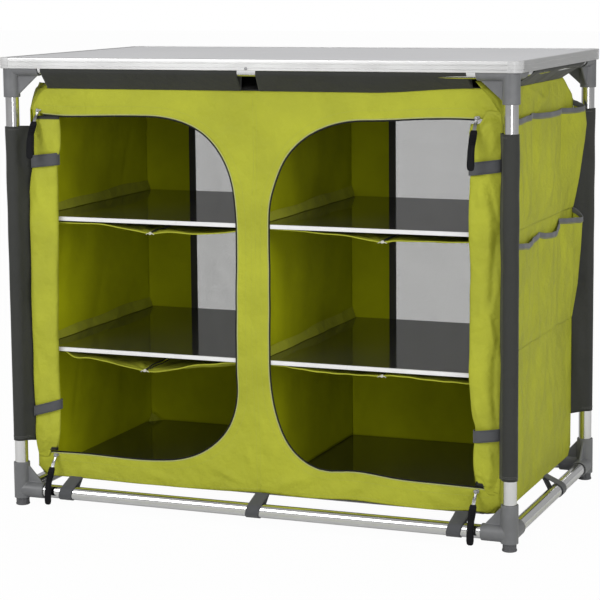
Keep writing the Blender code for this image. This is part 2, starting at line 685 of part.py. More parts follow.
def build_roof_and_floor(materials):
    """Cloth roof with its sleeves on the upper rails, cloth floor with its loops on the lower ones."""
    roof_z = BODY_TOP + CLEARANCE + CLOTH / 2
    roof = outline_tool("roof_cover", [cut_corner_plate(TOP_CUT_ACROSS)], CLOTH, Matrix.Translation((0, 0, roof_z)))
    low, high = FRONT_SLEEVE_MIDDLE_GAP / 2, LEG_X - FRONT_SLEEVE_END_GAP
    across = [(-high, -low), (low, high)]
    side_half = LEG_Y - SIDE_SLEEVE_END_GAP
    sides = [(-side_half, side_half)]
    combine(roof, rail_loops("rail_sleeve", roof_z, UPPER_RAIL_Z, SLEEVE_WALL, across, sides), "UNION")
    add_part("roof_cover", baked_mesh(roof, "roof_cover"), materials["dark"])

    floor_z = BODY_BOTTOM + CLOTH / 2
    floor = outline_tool("floor_panel", [cut_corner_plate(BOTTOM_CUT)], CLOTH, Matrix.Translation((0, 0, floor_z)))
    half = LOOP_WIDTH / 2
    end_x = BODY_HALF_WIDTH - LOOP_END_INSET
    across = [(x - half, x + half) for x in (-end_x, 0.0, end_x)]
    sides = [(LOOP_SIDE_Y - half, LOOP_SIDE_Y + half)]
    combine(floor, rail_loops("rail_loop", floor_z, LOWER_RAIL_Z, SLEEVE_WALL, across, sides), "UNION")
    add_part("floor_panel", baked_mesh(floor, "floor_panel"), materials["dark"])


def build_boards(materials):
    """Two floor boards and four shelf boards, which have a lip along the front edge."""
    depth = BAY_HALF_DEPTH
    profile = [(-depth, -SHELF_LIP_HEIGHT), (-depth + SHELF_LIP_DEPTH, -SHELF_LIP_HEIGHT),
               (-depth + SHELF_LIP_DEPTH, -SHELF_THICKNESS), (depth, -SHELF_THICKNESS), (depth, 0.0), (-depth, 0.0)]
    width = BAY_OUTER_X - BAY_INNER_X
    cut = BOTTOM_CUT
    for side, sign in (("left", -1), ("right", 1)):
        for level, rise in SHELF_RISES.items():
            name = "shelf_board_" + side + "_" + level
            place = Matrix.Translation((sign * BAY_CENTRE_X, 0, BODY_BOTTOM + rise)) @ PLANE_YZ
            add_part(name, outline_curve(name, [profile], width), materials["board"], place)
        name = "floor_board_" + side
        loop = [(BAY_INNER_X, -depth), (BAY_OUTER_X - cut, -depth), (BAY_OUTER_X, -depth + cut),
                (BAY_OUTER_X, depth - cut), (BAY_OUTER_X - cut, depth), (BAY_INNER_X, depth)]
        loop = [(sign * x, y) for x, y in loop]
        height = WALL_BOTTOM + SHELF_THICKNESS / 2
        add_part(name, outline_curve(name, [loop], SHELF_THICKNESS), materials["board"], Matrix.Translation((0, 0, height)))


def build_slings(materials):
    """Under each shelf board two flaps that sag to the middle, where knots front and rear tie them."""
    columns = SLING_COLUMNS * 2 + 1
    half_bay = (BAY_OUTER_X - BAY_INNER_X) / 2
    knot_share = SLING_KNOT_DEPTH / (2 * BAY_HALF_DEPTH)

    def keep(column, row):
        return column != SLING_COLUMNS or row in (0, SLING_ROWS - 1)

    for side, sign in (("left", -1), ("right", 1)):
        for level, rise in SHELF_RISES.items():
            under = BODY_BOTTOM + rise - SHELF_THICKNESS - CLEARANCE - SLING_THICKNESS / 2

            def place(u, v):
                row = round(v * SLING_ROWS)
                if row in (0, SLING_ROWS):
                    depth_share = row / SLING_ROWS
                else:
                    depth_share = knot_share + (1 - 2 * knot_share) * (row - 1) / (SLING_ROWS - 2)
                y = -BAY_HALF_DEPTH + SHELF_LIP_DEPTH + CLEARANCE
                y += (BAY_HALF_DEPTH * 2 - SHELF_LIP_DEPTH - CLEARANCE) * depth_share
                column = round(u * columns)
                flap = 1 if column > SLING_COLUMNS else -1
                step = column - SLING_COLUMNS - 1 if flap > 0 else SLING_COLUMNS - column
                share = step / SLING_COLUMNS
                bow = math.sin(math.pi * depth_share)
                inner = SLING_KNOT_WIDTH / 2 + SLING_GAP * bow
                local = inner + (half_bay - inner) * share
                drop = SLING_SAG * (1 - share) ** SLING_SAG_POWER * (1 - SLING_EDGE_LIFT * bow)
                return sign * BAY_CENTRE_X + flap * local, y, under - drop

            name = "shelf_sling_" + side + "_" + level
            sheet = cloth_sheet(name, columns, SLING_ROWS, place, SLING_THICKNESS, keep)
            sheet.data.materials.append(materials["green"])


def build_leg_sleeves(materials):
    """Dark sleeves: cloth that goes round a leg and back to the cupboard's corner edge."""
    ring = BORE_RADIUS + LEG_SLEEVE_CLOTH / 2
    corner_gap = Vector((LEG_X - BODY_HALF_WIDTH, LEG_Y - BODY_HALF_DEPTH))
    reach = corner_gap.length - CLEARANCE - LEG_SLEEVE_CLOTH
    tangent = math.acos(ring / reach)
    path = []
    for i in range(LEG_SLEEVE_WEB_STEPS):
        share = i / LEG_SLEEVE_WEB_STEPS
        start = Vector((reach, LEG_SLEEVE_SEAM_GAP))
        end = Vector((ring * math.cos(tangent), ring * math.sin(tangent)))
        path.append((start.lerp(end, share), 1 - share))
    for i in range(LEG_SLEEVE_ARC_STEPS + 1):
        angle = tangent + (2 * math.pi - 2 * tangent) * i / LEG_SLEEVE_ARC_STEPS
        path.append((Vector((ring * math.cos(angle), ring * math.sin(angle))), 0.0))
    path += [(Vector((point.x, -point.y)), slack) for point, slack in reversed(path[:LEG_SLEEVE_WEB_STEPS])]
    columns = len(path) - 1
    for corner, sign_x, sign_y, _ in corners():
        lift = LEG_SLEEVE_REAR_LIFT if sign_y > 0 else 0.0
        toward = Vector((-sign_x * corner_gap.x, -sign_y * corner_gap.y)).normalized()
        across = Vector((-toward.y, toward.x))

        def place(u, v):
            point, slack = path[round(u * columns)]
            fold = LEG_SLEEVE_FOLD * math.sin(v * LEG_SLEEVE_FOLD_COUNT * 2 * math.pi) * math.sin(math.pi * slack)
            spot = toward * point.x + across * (point.y + fold)
            height = LEG_SLEEVE_BOTTOM + lift + (LEG_SLEEVE_TOP - LEG_SLEEVE_BOTTOM) * v
            return sign_x * LEG_X + spot.x, sign_y * LEG_Y + spot.y, height

        name = "leg_sleeve_" + corner
        sheet = cloth_sheet(name, columns, LEG_SLEEVE_ROWS, place, LEG_SLEEVE_CLOTH)
        sheet.data.materials.append(materials["dark"])


def roll_path():
    """The rolled door from its seam in: points and the length of cloth up to each.

    A flat run along the stile, then a flattened spiral that turns forward and outward.
    In the points X is toward the middle of the cupboard and Y is forward, from the roll's centre.
    """
    centre_x = ROLL_INNER_EDGE_X + ROLL_HALF_WIDTH + ROLL_CLOTH / 2
    path = [(Vector((centre_x - ROLL_SEAM_X, -ROLL_HALF_DEPTH)), 0.0)]
    length = 0.0
    count = round(ROLL_TURNS * ROLL_STEPS_PER_TURN)
    for i in range(count + 1):
        turns = i / ROLL_STEPS_PER_TURN
        angle = 2 * math.pi * (turns - 0.25)
        half_width = ROLL_HALF_WIDTH - ROLL_PITCH * turns
        half_depth = ROLL_HALF_DEPTH - ROLL_PITCH * turns
        point = Vector((half_width * math.cos(angle), half_depth * math.sin(angle)))
        length += (point - path[-1][0]).length
        path.append((point, length))
    return path


def build_rolled_doors(materials):
    """The two doors rolled up along the outer edge of their doorways."""
    path = roll_path()
    columns = len(path) - 1
    centre_x = ROLL_INNER_EDGE_X + ROLL_HALF_WIDTH + ROLL_CLOTH / 2
    centre_y = -(BODY_HALF_DEPTH + CLEARANCE + ROLL_CLOTH / 2 + ROLL_HALF_DEPTH)
    for side, sign in (("left", -1), ("right", 1)):

        def place(u, v):
            point, length = path[round(u * columns)]
            bottom, top = door_edge_heights(length)
            bottom += ROLL_END_GAP
            top -= ROLL_END_GAP
            return sign * (centre_x - point.x), centre_y - point.y, bottom + (top - bottom) * v

        name = "rolled_door_" + side
        sheet = cloth_sheet(name, columns, ROLL_ROWS, place, ROLL_CLOTH)
        sheet.data.materials.append(materials["green"])


def build_zips(materials):
    """Sliders that run along the doorway's straight edges, and the pulls that hang on their pins."""
    face = BODY_HALF_DEPTH + CLEARANCE
    pull_back = face + SLIDER_DEPTH + CLEARANCE
    pull_front = pull_back + PULL_THICKNESS
    half_height = SLIDER_HEIGHT / 2
    half_width = SLIDER_WIDTH / 2
    wedge = [(-half_width, -half_height), (half_width, -half_height + SLIDER_TAPER),
             (half_width, half_height - SLIDER_TAPER), (-half_width, half_height)]
    body = outline_tool("slider_body", [wedge], SLIDER_DEPTH, Matrix.Translation((0, -SLIDER_DEPTH / 2, 0)) @ PLANE_XZ)
    pin_end = SLIDER_DEPTH + CLEARANCE * 2 + PULL_THICKNESS
    pin_ends = (0, -SLIDER_DEPTH / 2, 0), (0, -pin_end - PIN_HEAD_DEPTH / 2, 0)
    pin = cylinder_mesh("slider_pin", *pin_ends, PIN_RADIUS, PIN_SIDES)
    head = cylinder_mesh("slider_head", (0, -pin_end, 0), (0, -pin_end - PIN_HEAD_DEPTH, 0), PIN_HEAD_RADIUS, 12)
    combine(body, [add_tool("slider_pin", pin), add_tool("slider_head", head)], "UNION")
    slider = baked_mesh(body, "zip_slider")

    half = PULL_THICKNESS / 2
    top_y = -(pull_back + half) + face
    shoulder_y = -(ROLL_FRONT_Y + PULL_SHOULDER_GAP + half) + face
    low_y = -PULL_PLANE_Y + face
    line = [(top_y, PULL_EYE_TOP), (top_y, -PULL_EYE_BOTTOM), (shoulder_y, -PULL_SHOULDER),
            (low_y, -PULL_SLANT_BOTTOM), (low_y, -PULL_LENGTH)]
    side_view = [(y - half, z) for y, z in line] + [(y + half, z) for y, z in reversed(line)]
    strip = outline_tool("pull_strip", [side_view], PULL_WIDTH, PLANE_YZ)
    eye_ends = (0, -(pull_front - face) - half, 0), (0, -(pull_back - face) + half, 0)
    eye = cylinder_mesh("pull_eye", *eye_ends, PIN_RADIUS + CLEARANCE, PIN_SIDES)
    combine(strip, [add_tool("pull_eye", eye)], "DIFFERENCE")
    pull = baked_mesh(strip, "zip_pull")

    for key, (side, edge, parked) in SLIDERS.items():
        x = side * (DOOR_OUTER_X - parked)
        z = DOOR_TOP + half_height if edge == "top" else DOOR_BOTTOM - half_height
        place = Matrix.Translation((x, -face, z))
        if x > 0:
            place = place @ Matrix.Rotation(math.radians(180), 4, "Y")
        add_part("zip_slider_" + key, slider, materials["metal"], place)
        add_part("zip_pull_" + key, pull, materials["black"], Matrix.Translation((x, -face, z)))


def build_pockets(materials):
    """Two rows of open pockets on the right side, sewn down at the bottom and at the seams."""
    front_seam, rear_seam = POCKET_FRONT_MARGIN - BODY_HALF_DEPTH, BODY_HALF_DEPTH - POCKET_REAR_MARGIN
    seams = (front_seam, *POCKET_MIDDLE_SEAMS, rear_seam)
    pockets = len(seams) - 1
    columns = pockets * POCKET_STEPS_ACROSS
    against = BODY_HALF_WIDTH + CLEARANCE + POCKET_CLOTH / 2
    for row, (drop, height) in POCKET_ROWS.items():

        def place(u, v):
            column = round(u * columns)
            index = min(column // POCKET_STEPS_ACROSS, pockets - 1)
            share = column / POCKET_STEPS_ACROSS - index
            low, high = seams[index], seams[index + 1]
            belly = math.sin(math.pi * share) ** POCKET_BULGE_POWER if 0 < share < 1 else 0.0
            x = against + POCKET_BULGE * belly * math.sin(math.pi / 2 * v)
            z = BODY_TOP - drop - height * (1 - v) - POCKET_TOP_SAG * belly * v
            return x, low + (high - low) * share, z

        name = "pocket_" + row
        sheet = cloth_sheet(name, columns, POCKET_STEPS_UP, place, POCKET_CLOTH)
        sheet.data.materials.append(materials["green"])


def main():
    """Build the whole cupboard."""
    clear_scene()
    materials = {
        "green": make_material("green_cloth", (0.42, 0.45, 0.06), 0.8),
        "dark": make_material("dark_cloth", (0.052, 0.055, 0.049), 0.85),
        "net": make_material("net", (0.40, 0.41, 0.42), 0.8),
        "laminate": make_material("laminate", (0.60, 0.60, 0.62), 0.35),
        "aluminium": make_material("aluminium", (0.78, 0.78, 0.79), 0.3, 1.0),
        "connector": make_material("connector_plastic", (0.15, 0.15, 0.16), 0.5),
        "foot": make_material("foot_plastic", (0.09, 0.09, 0.095), 0.6),
        "board": make_material("dark_board", (0.035, 0.033, 0.036), 0.2),
        "metal": make_material("zip_metal", (0.35, 0.35, 0.36), 0.35, 1.0),
        "black": make_material("black_pull", (0.01, 0.01, 0.01), 0.6),
    }
    build_table_top(materials)
    build_connectors(materials)
    build_tubes(materials)
    build_feet(materials)
    build_walls(materials)
    build_roof_and_floor(materials)
    build_boards(materials)
    build_slings(materials)
    build_leg_sleeves(materials)
    build_rolled_doors(materials)
    build_zips(materials)
    build_pockets(materials)


main()
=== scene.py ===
import math

import bmesh
import bpy
import numpy as np
from mathutils import Matrix, Vector


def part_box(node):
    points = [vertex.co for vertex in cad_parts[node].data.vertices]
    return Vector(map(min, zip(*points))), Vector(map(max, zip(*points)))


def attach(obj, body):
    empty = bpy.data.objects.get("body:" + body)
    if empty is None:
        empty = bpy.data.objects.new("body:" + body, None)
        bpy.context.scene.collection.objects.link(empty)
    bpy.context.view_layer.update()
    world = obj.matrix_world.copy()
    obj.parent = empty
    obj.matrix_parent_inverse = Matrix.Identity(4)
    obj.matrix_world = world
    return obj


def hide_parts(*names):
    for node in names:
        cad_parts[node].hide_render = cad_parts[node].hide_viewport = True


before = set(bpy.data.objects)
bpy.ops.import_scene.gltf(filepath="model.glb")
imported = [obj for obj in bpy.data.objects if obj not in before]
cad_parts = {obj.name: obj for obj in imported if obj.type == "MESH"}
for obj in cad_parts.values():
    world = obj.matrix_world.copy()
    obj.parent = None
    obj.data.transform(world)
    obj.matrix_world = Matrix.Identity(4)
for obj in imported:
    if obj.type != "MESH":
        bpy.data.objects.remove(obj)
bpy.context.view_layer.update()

BODY_LOW, BODY_HIGH = (np.array(p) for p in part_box("front_panel"))
BODY_X = float(BODY_HIGH[0])
BODY_TOP = float(BODY_HIGH[2])
BODY_BOTTOM = float(BODY_LOW[2])
BODY_Y = -float(BODY_LOW[1])
LEG_X, LEG_Y = 0.480, 0.273
TUBE_R = 0.0125
UPPER_Z, LOWER_Z = 0.8310, 0.0302
SOCKET_R = 0.0152
CLOTH = 0.0010
HEM_Z = 0.0548
# The right doorway, and how far its upper and its lower round corner reach across and up
DOOR_INNER, DOOR_OUTER, DOOR_FOOT, DOOR_TOP = 0.028, 0.437, 0.100, 0.747
DOOR_BENDS = ((0.182, 0.205), (0.164, 0.165))
# The rear wall's windows
WINDOW_X, WINDOW_Z = 0.220, 0.5035
WINDOW_HALF_X, WINDOW_HALF_Z = 0.1275, 0.2415
# The corners cut off the walls: across the front and rear walls, along the side walls, and down both
TOP_CUT_ACROSS, TOP_CUT_DOWN = 0.036, 0.040
SIDE_CUT_FRONT, SIDE_CUT_REAR = 0.030, 0.090
FOOT_CUT_ACROSS, FOOT_CUT_DOWN = 0.026, 0.018
SIDES = ((-1, "left"), (1, "right"))
CORNERS = (("front_left", -1, -1), ("front_right", 1, -1), ("rear_left", -1, 1), ("rear_right", 1, 1))


# Meshes: rings and grids of points as numpy arrays

def grid_quads(rows, columns, wrap_rows=False, wrap_columns=False):
    """Quads over a grid of points: (r, c), (r, c+1), (r+1, c+1), (r+1, c), with the ends joined where asked."""
    r = np.arange(rows if wrap_rows else rows - 1)[:, None]
    c = np.arange(columns if wrap_columns else columns - 1)[None, :]
    r2, c2 = (r + 1) % rows, (c + 1) % columns
    quads = np.stack([r * columns + c, r * columns + c2, r2 * columns + c2, r2 * columns + c], axis=-1)
    return quads.reshape(-1, 4)


def skin(rings, loop=False):
    """A closed skin over rings of points (k, n, 3): quads between them, and a fan over each end, or a loop."""
    rings = np.asarray(rings, float)
    count, size, _ = rings.shape
    points = rings.reshape(-1, 3)
    quads = grid_quads(count, size, wrap_rows=loop, wrap_columns=True)
    if loop:
        return points, quads, np.zeros((0, 3), int)
    middle = rings[[0, -1]].mean(axis=1)
    i = np.arange(size)
    j = (i + 1) % size
    first, last = np.full(size, len(points)), np.full(size, len(points) + 1)
    base = (count - 1) * size
    fans = np.concatenate([np.stack([first, j, i], 1), np.stack([last, base + i, base + j], 1)])
    return np.concatenate([points, middle]), quads, fans


def joined(parts):
    """Several skins (points, quads, triangles) as one."""
    points, quads, fans, start = [], [], [], 0
    for p, q, t in parts:
        points.append(p)
        quads.append(q + start)
        fans.append(t + start)
        start += len(p)
    return np.concatenate(points), np.concatenate(quads), np.concatenate(fans)


def raw_mesh(name, points, quads, fans=None, uv=None):
    """A mesh datablock from arrays. uv, where given, is one (u, v) for each point."""
    fans = np.zeros((0, 3), int) if fans is None else fans
    corners = np.concatenate([quads.ravel(), fans.ravel()]).astype(np.int32)
    starts = np.concatenate([np.arange(len(quads)) * 4, len(quads) * 4 + np.arange(len(fans)) * 3])
    mesh = bpy.data.meshes.new(name)
    mesh.vertices.add(len(points))
    mesh.vertices.foreach_set("co", np.ascontiguousarray(points, np.float32).ravel())
    mesh.loops.add(len(corners))
    mesh.loops.foreach_set("vertex_index", corners)
    mesh.polygons.add(len(starts))
    mesh.polygons.foreach_set("loop_start", starts.astype(np.int32))
    mesh.update(calc_edges=True)
    if uv is not None:
        layer = mesh.uv_layers.new(name="cloth")
        layer.data.foreach_set("uv", np.asarray(uv, np.float32)[corners].ravel())
    mesh.validate()
    return mesh


def linked(name, data):
    """A new object in the scene."""
    made = bpy.data.objects.new(name, data)
    bpy.context.scene.collection.objects.link(made)
    return made


def add_piece(name, mesh, material, body="frame", replaces=()):
    """Put a mesh into the scene as a piece of the cupboard that rides on one of its bodies."""
    piece = linked(name, mesh)
    mesh.materials.clear()
    mesh.materials.append(material)
    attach(piece, body)
    if replaces:
        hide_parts(*replaces)
    return piece


def mm(rows):
    """A table in millimetres as an array in metres."""
    return np.array(rows, float) / 1000


def grid_of(*parts):
    """Coordinates stretched over each other, as one array whose last axis holds them."""
    return np.stack(np.broadcast_arrays(*parts), axis=-1)


def sheet_piece(name, points, quads, uv, material, thickness, flat, held="stretched", rests_on=(), area=None,
                slot="green_cloth", replaces=(), lining=None, flip=False, weld=0.0):
    """A sheet of cloth over quads, given its thickness to both sides.

    uv holds the same points flat on the cutting table, in metres, for the weave. A lining is the material of the
    side that the faces turn away from.
    """
    mesh = raw_mesh(name, points.reshape(-1, 3), quads[:, ::-1] if flip else quads, uv=np.reshape(uv, (-1, 2)))
    if weld:
        clean(mesh, weld, outwards=False)
    mesh.shade_smooth()
    piece = add_piece(name, mesh, material, replaces=replaces)
    wall = piece.modifiers.new("cloth", "SOLIDIFY")
    wall.thickness, wall.offset = thickness, 0.0
    if lining:
        mesh.materials.append(lining)
        wall.material_offset = 1
    return piece


def clean(mesh, weld, outwards=True):
    """Weld points that lie together, and turn a closed mesh's faces outwards."""
    bm = bmesh.new()
    bm.from_mesh(mesh)
    if weld:
        bmesh.ops.remove_doubles(bm, verts=bm.verts, dist=weld)
    if outwards:
        bmesh.ops.recalc_face_normals(bm, faces=bm.faces)
    bm.to_mesh(mesh)
    bm.free()


def solid_piece(name, parts, material, body="frame", replaces=(), sharp=35, weld=0.000002):
    """A piece from closed skins, with its faces turned outwards and its round sides shaded smooth."""
    mesh = raw_mesh(name, *joined(parts))
    clean(mesh, weld)
    mesh.shade_smooth()
    mesh.set_sharp_from_angle(angle=math.radians(sharp))
    return add_piece(name, mesh, material, body, replaces)


def cloth_piece(name, grid, uv, *cloth, **more):
    """A sheet of cloth over a grid of points (rows, columns, 3)."""
    return sheet_piece(name, grid, grid_quads(*grid.shape[:2]), uv, *cloth, **more)


def lengths(path):
    """The length along a path of points (n, d) up to each of them."""
    steps = np.linalg.norm(np.diff(path, axis=0), axis=1)
    return np.concatenate([[0.0], np.cumsum(steps)])


def even(path, count):
    """count points at even distances along a path."""
    at = lengths(path)
    want = np.linspace(0, at[-1], count)
    return np.stack([np.interp(want, at, path[:, i]) for i in range(path.shape[1])], axis=1)


def smooth_path(points, count):
    """A round curve through points (Catmull-Rom), count points along it at even distances."""
    p = np.asarray(points, float)
    p = np.concatenate([2 * p[:1] - p[1:2], p, 2 * p[-1:] - p[-2:-1]])
    t = np.linspace(0, 1, 12, endpoint=False)[:, None, None]
    a, b, c, d = p[:-3], p[1:-2], p[2:-1], p[3:]
    curve = 0.5 * (2 * b + (c - a) * t + (2 * a - 5 * b + 4 * c - d) * t ** 2 + (3 * b - a - 3 * c + d) * t ** 3)
    curve = np.concatenate([curve.transpose(1, 0, 2).reshape(-1, p.shape[1]), p[-2:-1]])
    return even(curve, count)


def unit(v):
    """Vectors of length one."""
    return v / np.maximum(np.linalg.norm(v, axis=-1, keepdims=True), 1e-12)


def sweep(path, side, profile, loop=False):
    """A profile (m, 2) carried along a path (n, 3): its first number goes along side, its second across both."""
    path = np.asarray(path, float)
    side = unit(np.broadcast_to(np.asarray(side, float), path.shape))
    if loop:
        ahead = np.roll(path, -1, axis=0) - np.roll(path, 1, axis=0)
    else:
        ahead = np.gradient(path, axis=0)
    up = unit(np.cross(unit(ahead), side))
    profile = np.asarray(profile, float)
    rings = path[:, None] + side[:, None] * profile[None, :, :1] + up[:, None] * profile[None, :, 1:]
    return skin(rings, loop)


def sewn_piece(name, rows, thread):
    """Rows of stitches as one piece."""
    return solid_piece(name, rows, thread, sharp=60, weld=0)


def slab_profile(width, thickness, round_share=0.45, steps=3):
    """A flat strap's cross-section: width by thickness with its edges rounded."""
    r = min(width, thickness) * round_share
    return rounded_outline(width / 2, thickness / 2, r, steps)


def circle(radius, sides):
    """Points round a circle."""
    t = np.arange(sides) * 2 * math.pi / sides
    return np.stack([np.cos(t), np.sin(t)], 1) * radius


def turned(profile, start, axis, sides=48, loop=False):
    """A profile of (radius, distance along the axis) turned round an axis from a start point."""
    axis = unit(np.asarray(axis, float))
    across = np.array([0.0, 0.0, 1.0]) if abs(axis[2]) < 0.9 else np.array([1.0, 0.0, 0.0])
    e1 = unit(np.cross(axis, across))
    ring = circle(1.0, sides)
    around = ring[:, :1] * e1 + ring[:, 1:] * np.cross(axis, e1)
    return skin([np.asarray(start) + axis * z + around * r for r, z in profile], loop)


def plate(outline, thickness, edge, place):
    """A flat outline (n, 2) given a thickness, its edges rounded by a radius; place(x, y, z) puts its points."""
    outline = np.asarray(outline, float)
    after, before = np.roll(outline, -1, axis=0), np.roll(outline, 1, axis=0)
    mid = unit(unit(after - outline) + unit(outline - before))
    area = np.sum(outline[:, 0] * after[:, 1] - outline[:, 1] * after[:, 0])
    inward = np.stack([-mid[:, 1], mid[:, 0]], 1) * np.sign(area)
    angle = np.radians([90, 60, 30, 0])
    inset, z = edge * (1 - np.cos(angle)), thickness / 2 - edge + edge * np.sin(angle)
    rings = [outline + inward * i for i in np.concatenate([inset, inset[::-1]])]
    levels = np.concatenate([z, -z[::-1]])
    return skin([np.stack(place(*flat.T, np.full(len(flat), level)), axis=1)
                 for flat, level in zip(rings, levels)])


def rounded_outline(half_x, half_y, radius, steps=6, centre=(0.0, 0.0)):
    """A rectangle with round corners, anticlockwise."""
    angle = np.linspace(0, math.pi / 2, steps + 1) + np.arange(4)[:, None] * math.pi / 2
    middle = np.array([half_x - radius, half_y - radius]) * ((1, 1), (-1, 1), (-1, -1), (1, -1))
    return (np.asarray(centre) + middle[:, None] + radius * grid_of(np.cos(angle), np.sin(angle))).reshape(-1, 2)


# Cloth relief

def ripples(a, b, seed, size, height, count=7):
    """Soft unevenness of cloth: a sum of sine waves in random directions, of about one wavelength."""
    rng = np.random.default_rng(seed)
    total = 0
    for _ in range(count):
        angle, stretch, phase = rng.uniform(0, math.pi), rng.uniform(0.55, 1.6), rng.uniform(0, 2 * math.pi)
        total = total + np.sin(2 * math.pi * (a * math.cos(angle) + b * math.sin(angle)) / (size * stretch)
                               + phase)
    return total * height / math.sqrt(count)


def folds(a, b, rows):
    """The sum of several creases, each a row of a table in mm: from a, b to a, b, width, height."""
    return sum(crease(a, b, row[:2], row[2:4], row[4], row[5]) for row in mm(rows))


def crease(a, b, start, end, width, height):
    """One fold: a ridge along a line from start to end, bell shaped across, fading out at both ends."""
    start, end = np.array(start, float), np.array(end, float)
    length = np.linalg.norm(end - start)
    along = (end - start) / length
    t = ((a - start[0]) * along[0] + (b - start[1]) * along[1]) / length
    off = (a - start[0]) * -along[1] + (b - start[1]) * along[0]
    return height * np.sin(np.pi * np.clip(t, 0, 1)) * np.exp(-(off / width) ** 2)


# Materials

class Surface:
    """A Principled material, with short ways to add and join its nodes."""

    def __init__(self, name, color, roughness, metallic=0.0):
        self.material = bpy.data.materials.new(name)
        self.material.use_nodes = True
        self.tree = self.material.node_tree
        self.shader = self.tree.nodes["Principled BSDF"]
        self.set(**{"Base Color": (*color, 1.0), "Roughness": roughness, "Metallic": metallic})
        self.heights = None

    def set(self, **values):
        for key, value in values.items():
            self.shader.inputs[key].default_value = value

    def feed(self, node, key, value):
        """Give a node's input a socket, a number or a colour."""
        if isinstance(value, bpy.types.NodeSocket):
            self.tree.links.new(value, node.inputs[key])
        else:
            is_colour = isinstance(value, tuple) and len(value) == 3
            node.inputs[key].default_value = (*value, 1.0) if is_colour else value

    def node(self, kind, inputs=None, **properties):
        made = self.tree.nodes.new("ShaderNode" + kind)
        for key, value in properties.items():
            setattr(made, key, value)
        for key, value in (inputs or {}).items():
            self.feed(made, key, value)
        return made

    def math(self, operation, *values):
        return self.node("Math", dict(enumerate(values)), operation=operation).outputs[0]

    def place(self, space, scale=None):
        """Coordinates: space is Object or UV, both in metres here."""
        made = self.node("Mapping", {"Vector": self.node("TexCoord").outputs[space]})
        made.inputs["Scale"].default_value = scale or (1, 1, 1)
        return made.outputs[0]

    def noise(self, vector, scale, detail=3.0, roughness=0.5):
        inputs = {"Vector": vector, "Scale": scale, "Detail": detail, "Roughness": roughness}
        return self.node("TexNoise", inputs).outputs["Fac"]

    def wave(self, vector, axis, pitch):
        """A sine along one axis of the coordinates with this pitch in metres."""
        part = self.node("SeparateXYZ", {"Vector": vector}).outputs[axis]
        return self.math("MULTIPLY_ADD", self.math("SINE", self.math("MULTIPLY", part, 2 * math.pi / pitch)), 0.5)

    def mix(self, factor, a, b):
        """A colour mix; a and b are colours or sockets."""
        return self.node("Mix", {"Factor": factor, 6: a, 7: b}, data_type="RGBA").outputs[2]

    def ramp(self, value, low, high, from_low=0.3, from_high=0.7):
        inputs = {"Value": value, "From Min": from_low, "From Max": from_high, "To Min": low, "To Max": high}
        return self.node("MapRange", inputs).outputs[0]

    def tint(self, value, a, b, from_low=0.3, from_high=0.7):
        """The colour goes from a to b as value rises."""
        self.paint(self.mix(self.ramp(value, 0.0, 1.0, from_low, from_high), a, b))

    def paint(self, socket):
        self.tree.links.new(socket, self.shader.inputs["Base Color"])

    def gloss(self, socket):
        self.tree.links.new(socket, self.shader.inputs["Roughness"])

    def bump(self, height, distance, strength=1.0):
        made = self.node("Bump", {"Height": height, "Distance": distance, "Strength": strength})
        if self.heights is not None:
            self.tree.links.new(self.heights, made.inputs["Normal"])
        self.heights = made.outputs[0]
        self.tree.links.new(self.heights, self.shader.inputs["Normal"])


def shade(color, factor):
    return tuple(c * factor for c in color)


def woven(name, color, roughness, crumple=0.0005, sheen=0.0, specular=0.32):
    """Coated woven cloth: a plain weave, soft crumpling, a slight unevenness of shine, and soft random patches of
    lighter and darker colour that are partly the dye's unevenness and partly painted shade of soft folds.
    """
    s = Surface(name, color, roughness)
    flat, solid = s.place("UV"), s.place("Object")
    cloudy = s.noise(solid, 9.0, 3.0, 0.6)
    fine = s.noise(flat, 900.0, 2.0, 0.6)
    # Painted shade and dye: soft random patches from 0.87 to 1.07 of the colour stand partly for the dye's
    # unevenness and partly for the shade of soft folds.
    dye_and_painted_shade = s.mix(s.ramp(cloudy, 0.0, 1.0, 0.32, 0.68), shade(color, 0.87), shade(color, 1.07))
    s.paint(s.mix(s.ramp(fine, 0.0, 0.35, 0.35, 0.75), dye_and_painted_shade, shade(color, 0.72)))
    s.gloss(s.ramp(cloudy, roughness - 0.06, roughness + 0.06))
    for scale, detail, rough, depth in ((10.0, 2.0, 0.5, 16), (30.0, 3.0, 0.55, 6), (95.0, 3.0, 0.55, 0.7)):
        s.bump(s.noise(solid, scale, detail, rough), crumple * depth)
    over, under = s.wave(flat, "X", 0.0012), s.wave(flat, "Y", 0.0012)
    s.bump(s.math("ABSOLUTE", s.math("SUBTRACT", over, under)), 0.00005, 0.6)
    s.set(**{"Sheen Weight": sheen, "Sheen Roughness": 0.4, "Specular IOR Level": specular})
    return s


def webbing(name, color):
    """Narrow woven tape: ribs across it, in its own UV (along, across)."""
    s = Surface(name, color, 0.8)
    flat = s.place("UV")
    ribs, rows = s.wave(flat, "X", 0.0012), s.wave(flat, "Y", 0.0009)
    s.paint(s.mix(s.math("MULTIPLY", ribs, rows), shade(color, 0.75), shade(color, 1.15)))
    s.bump(ribs, 0.00012, 0.7)
    s.bump(rows, 0.00006, 0.5)
    s.set(**{"Sheen Weight": 0.2, "Sheen Roughness": 0.5})
    return s.material


def brushed(name, color, roughness, axis):
    """Anodised aluminium: fine drawing lines along one axis, and a little unevenness in the shine."""
    s = Surface(name, color, roughness, 1.0)
    scale = tuple(1.5 if axis == along else 900 for along in "XYZ")
    lines = s.noise(s.place("Object", scale), 1.0, 3.0, 0.6)
    cloudy = s.noise(s.place("Object"), 18.0)
    s.tint(lines, shade(color, 0.94), shade(color, 1.03))
    s.gloss(s.math("ADD", s.ramp(lines, roughness * 0.85, roughness * 1.15),
                   s.ramp(cloudy, -0.03, 0.05, 0.35, 0.65)))
    s.bump(lines, 0.00002, 0.25)
    return s.material


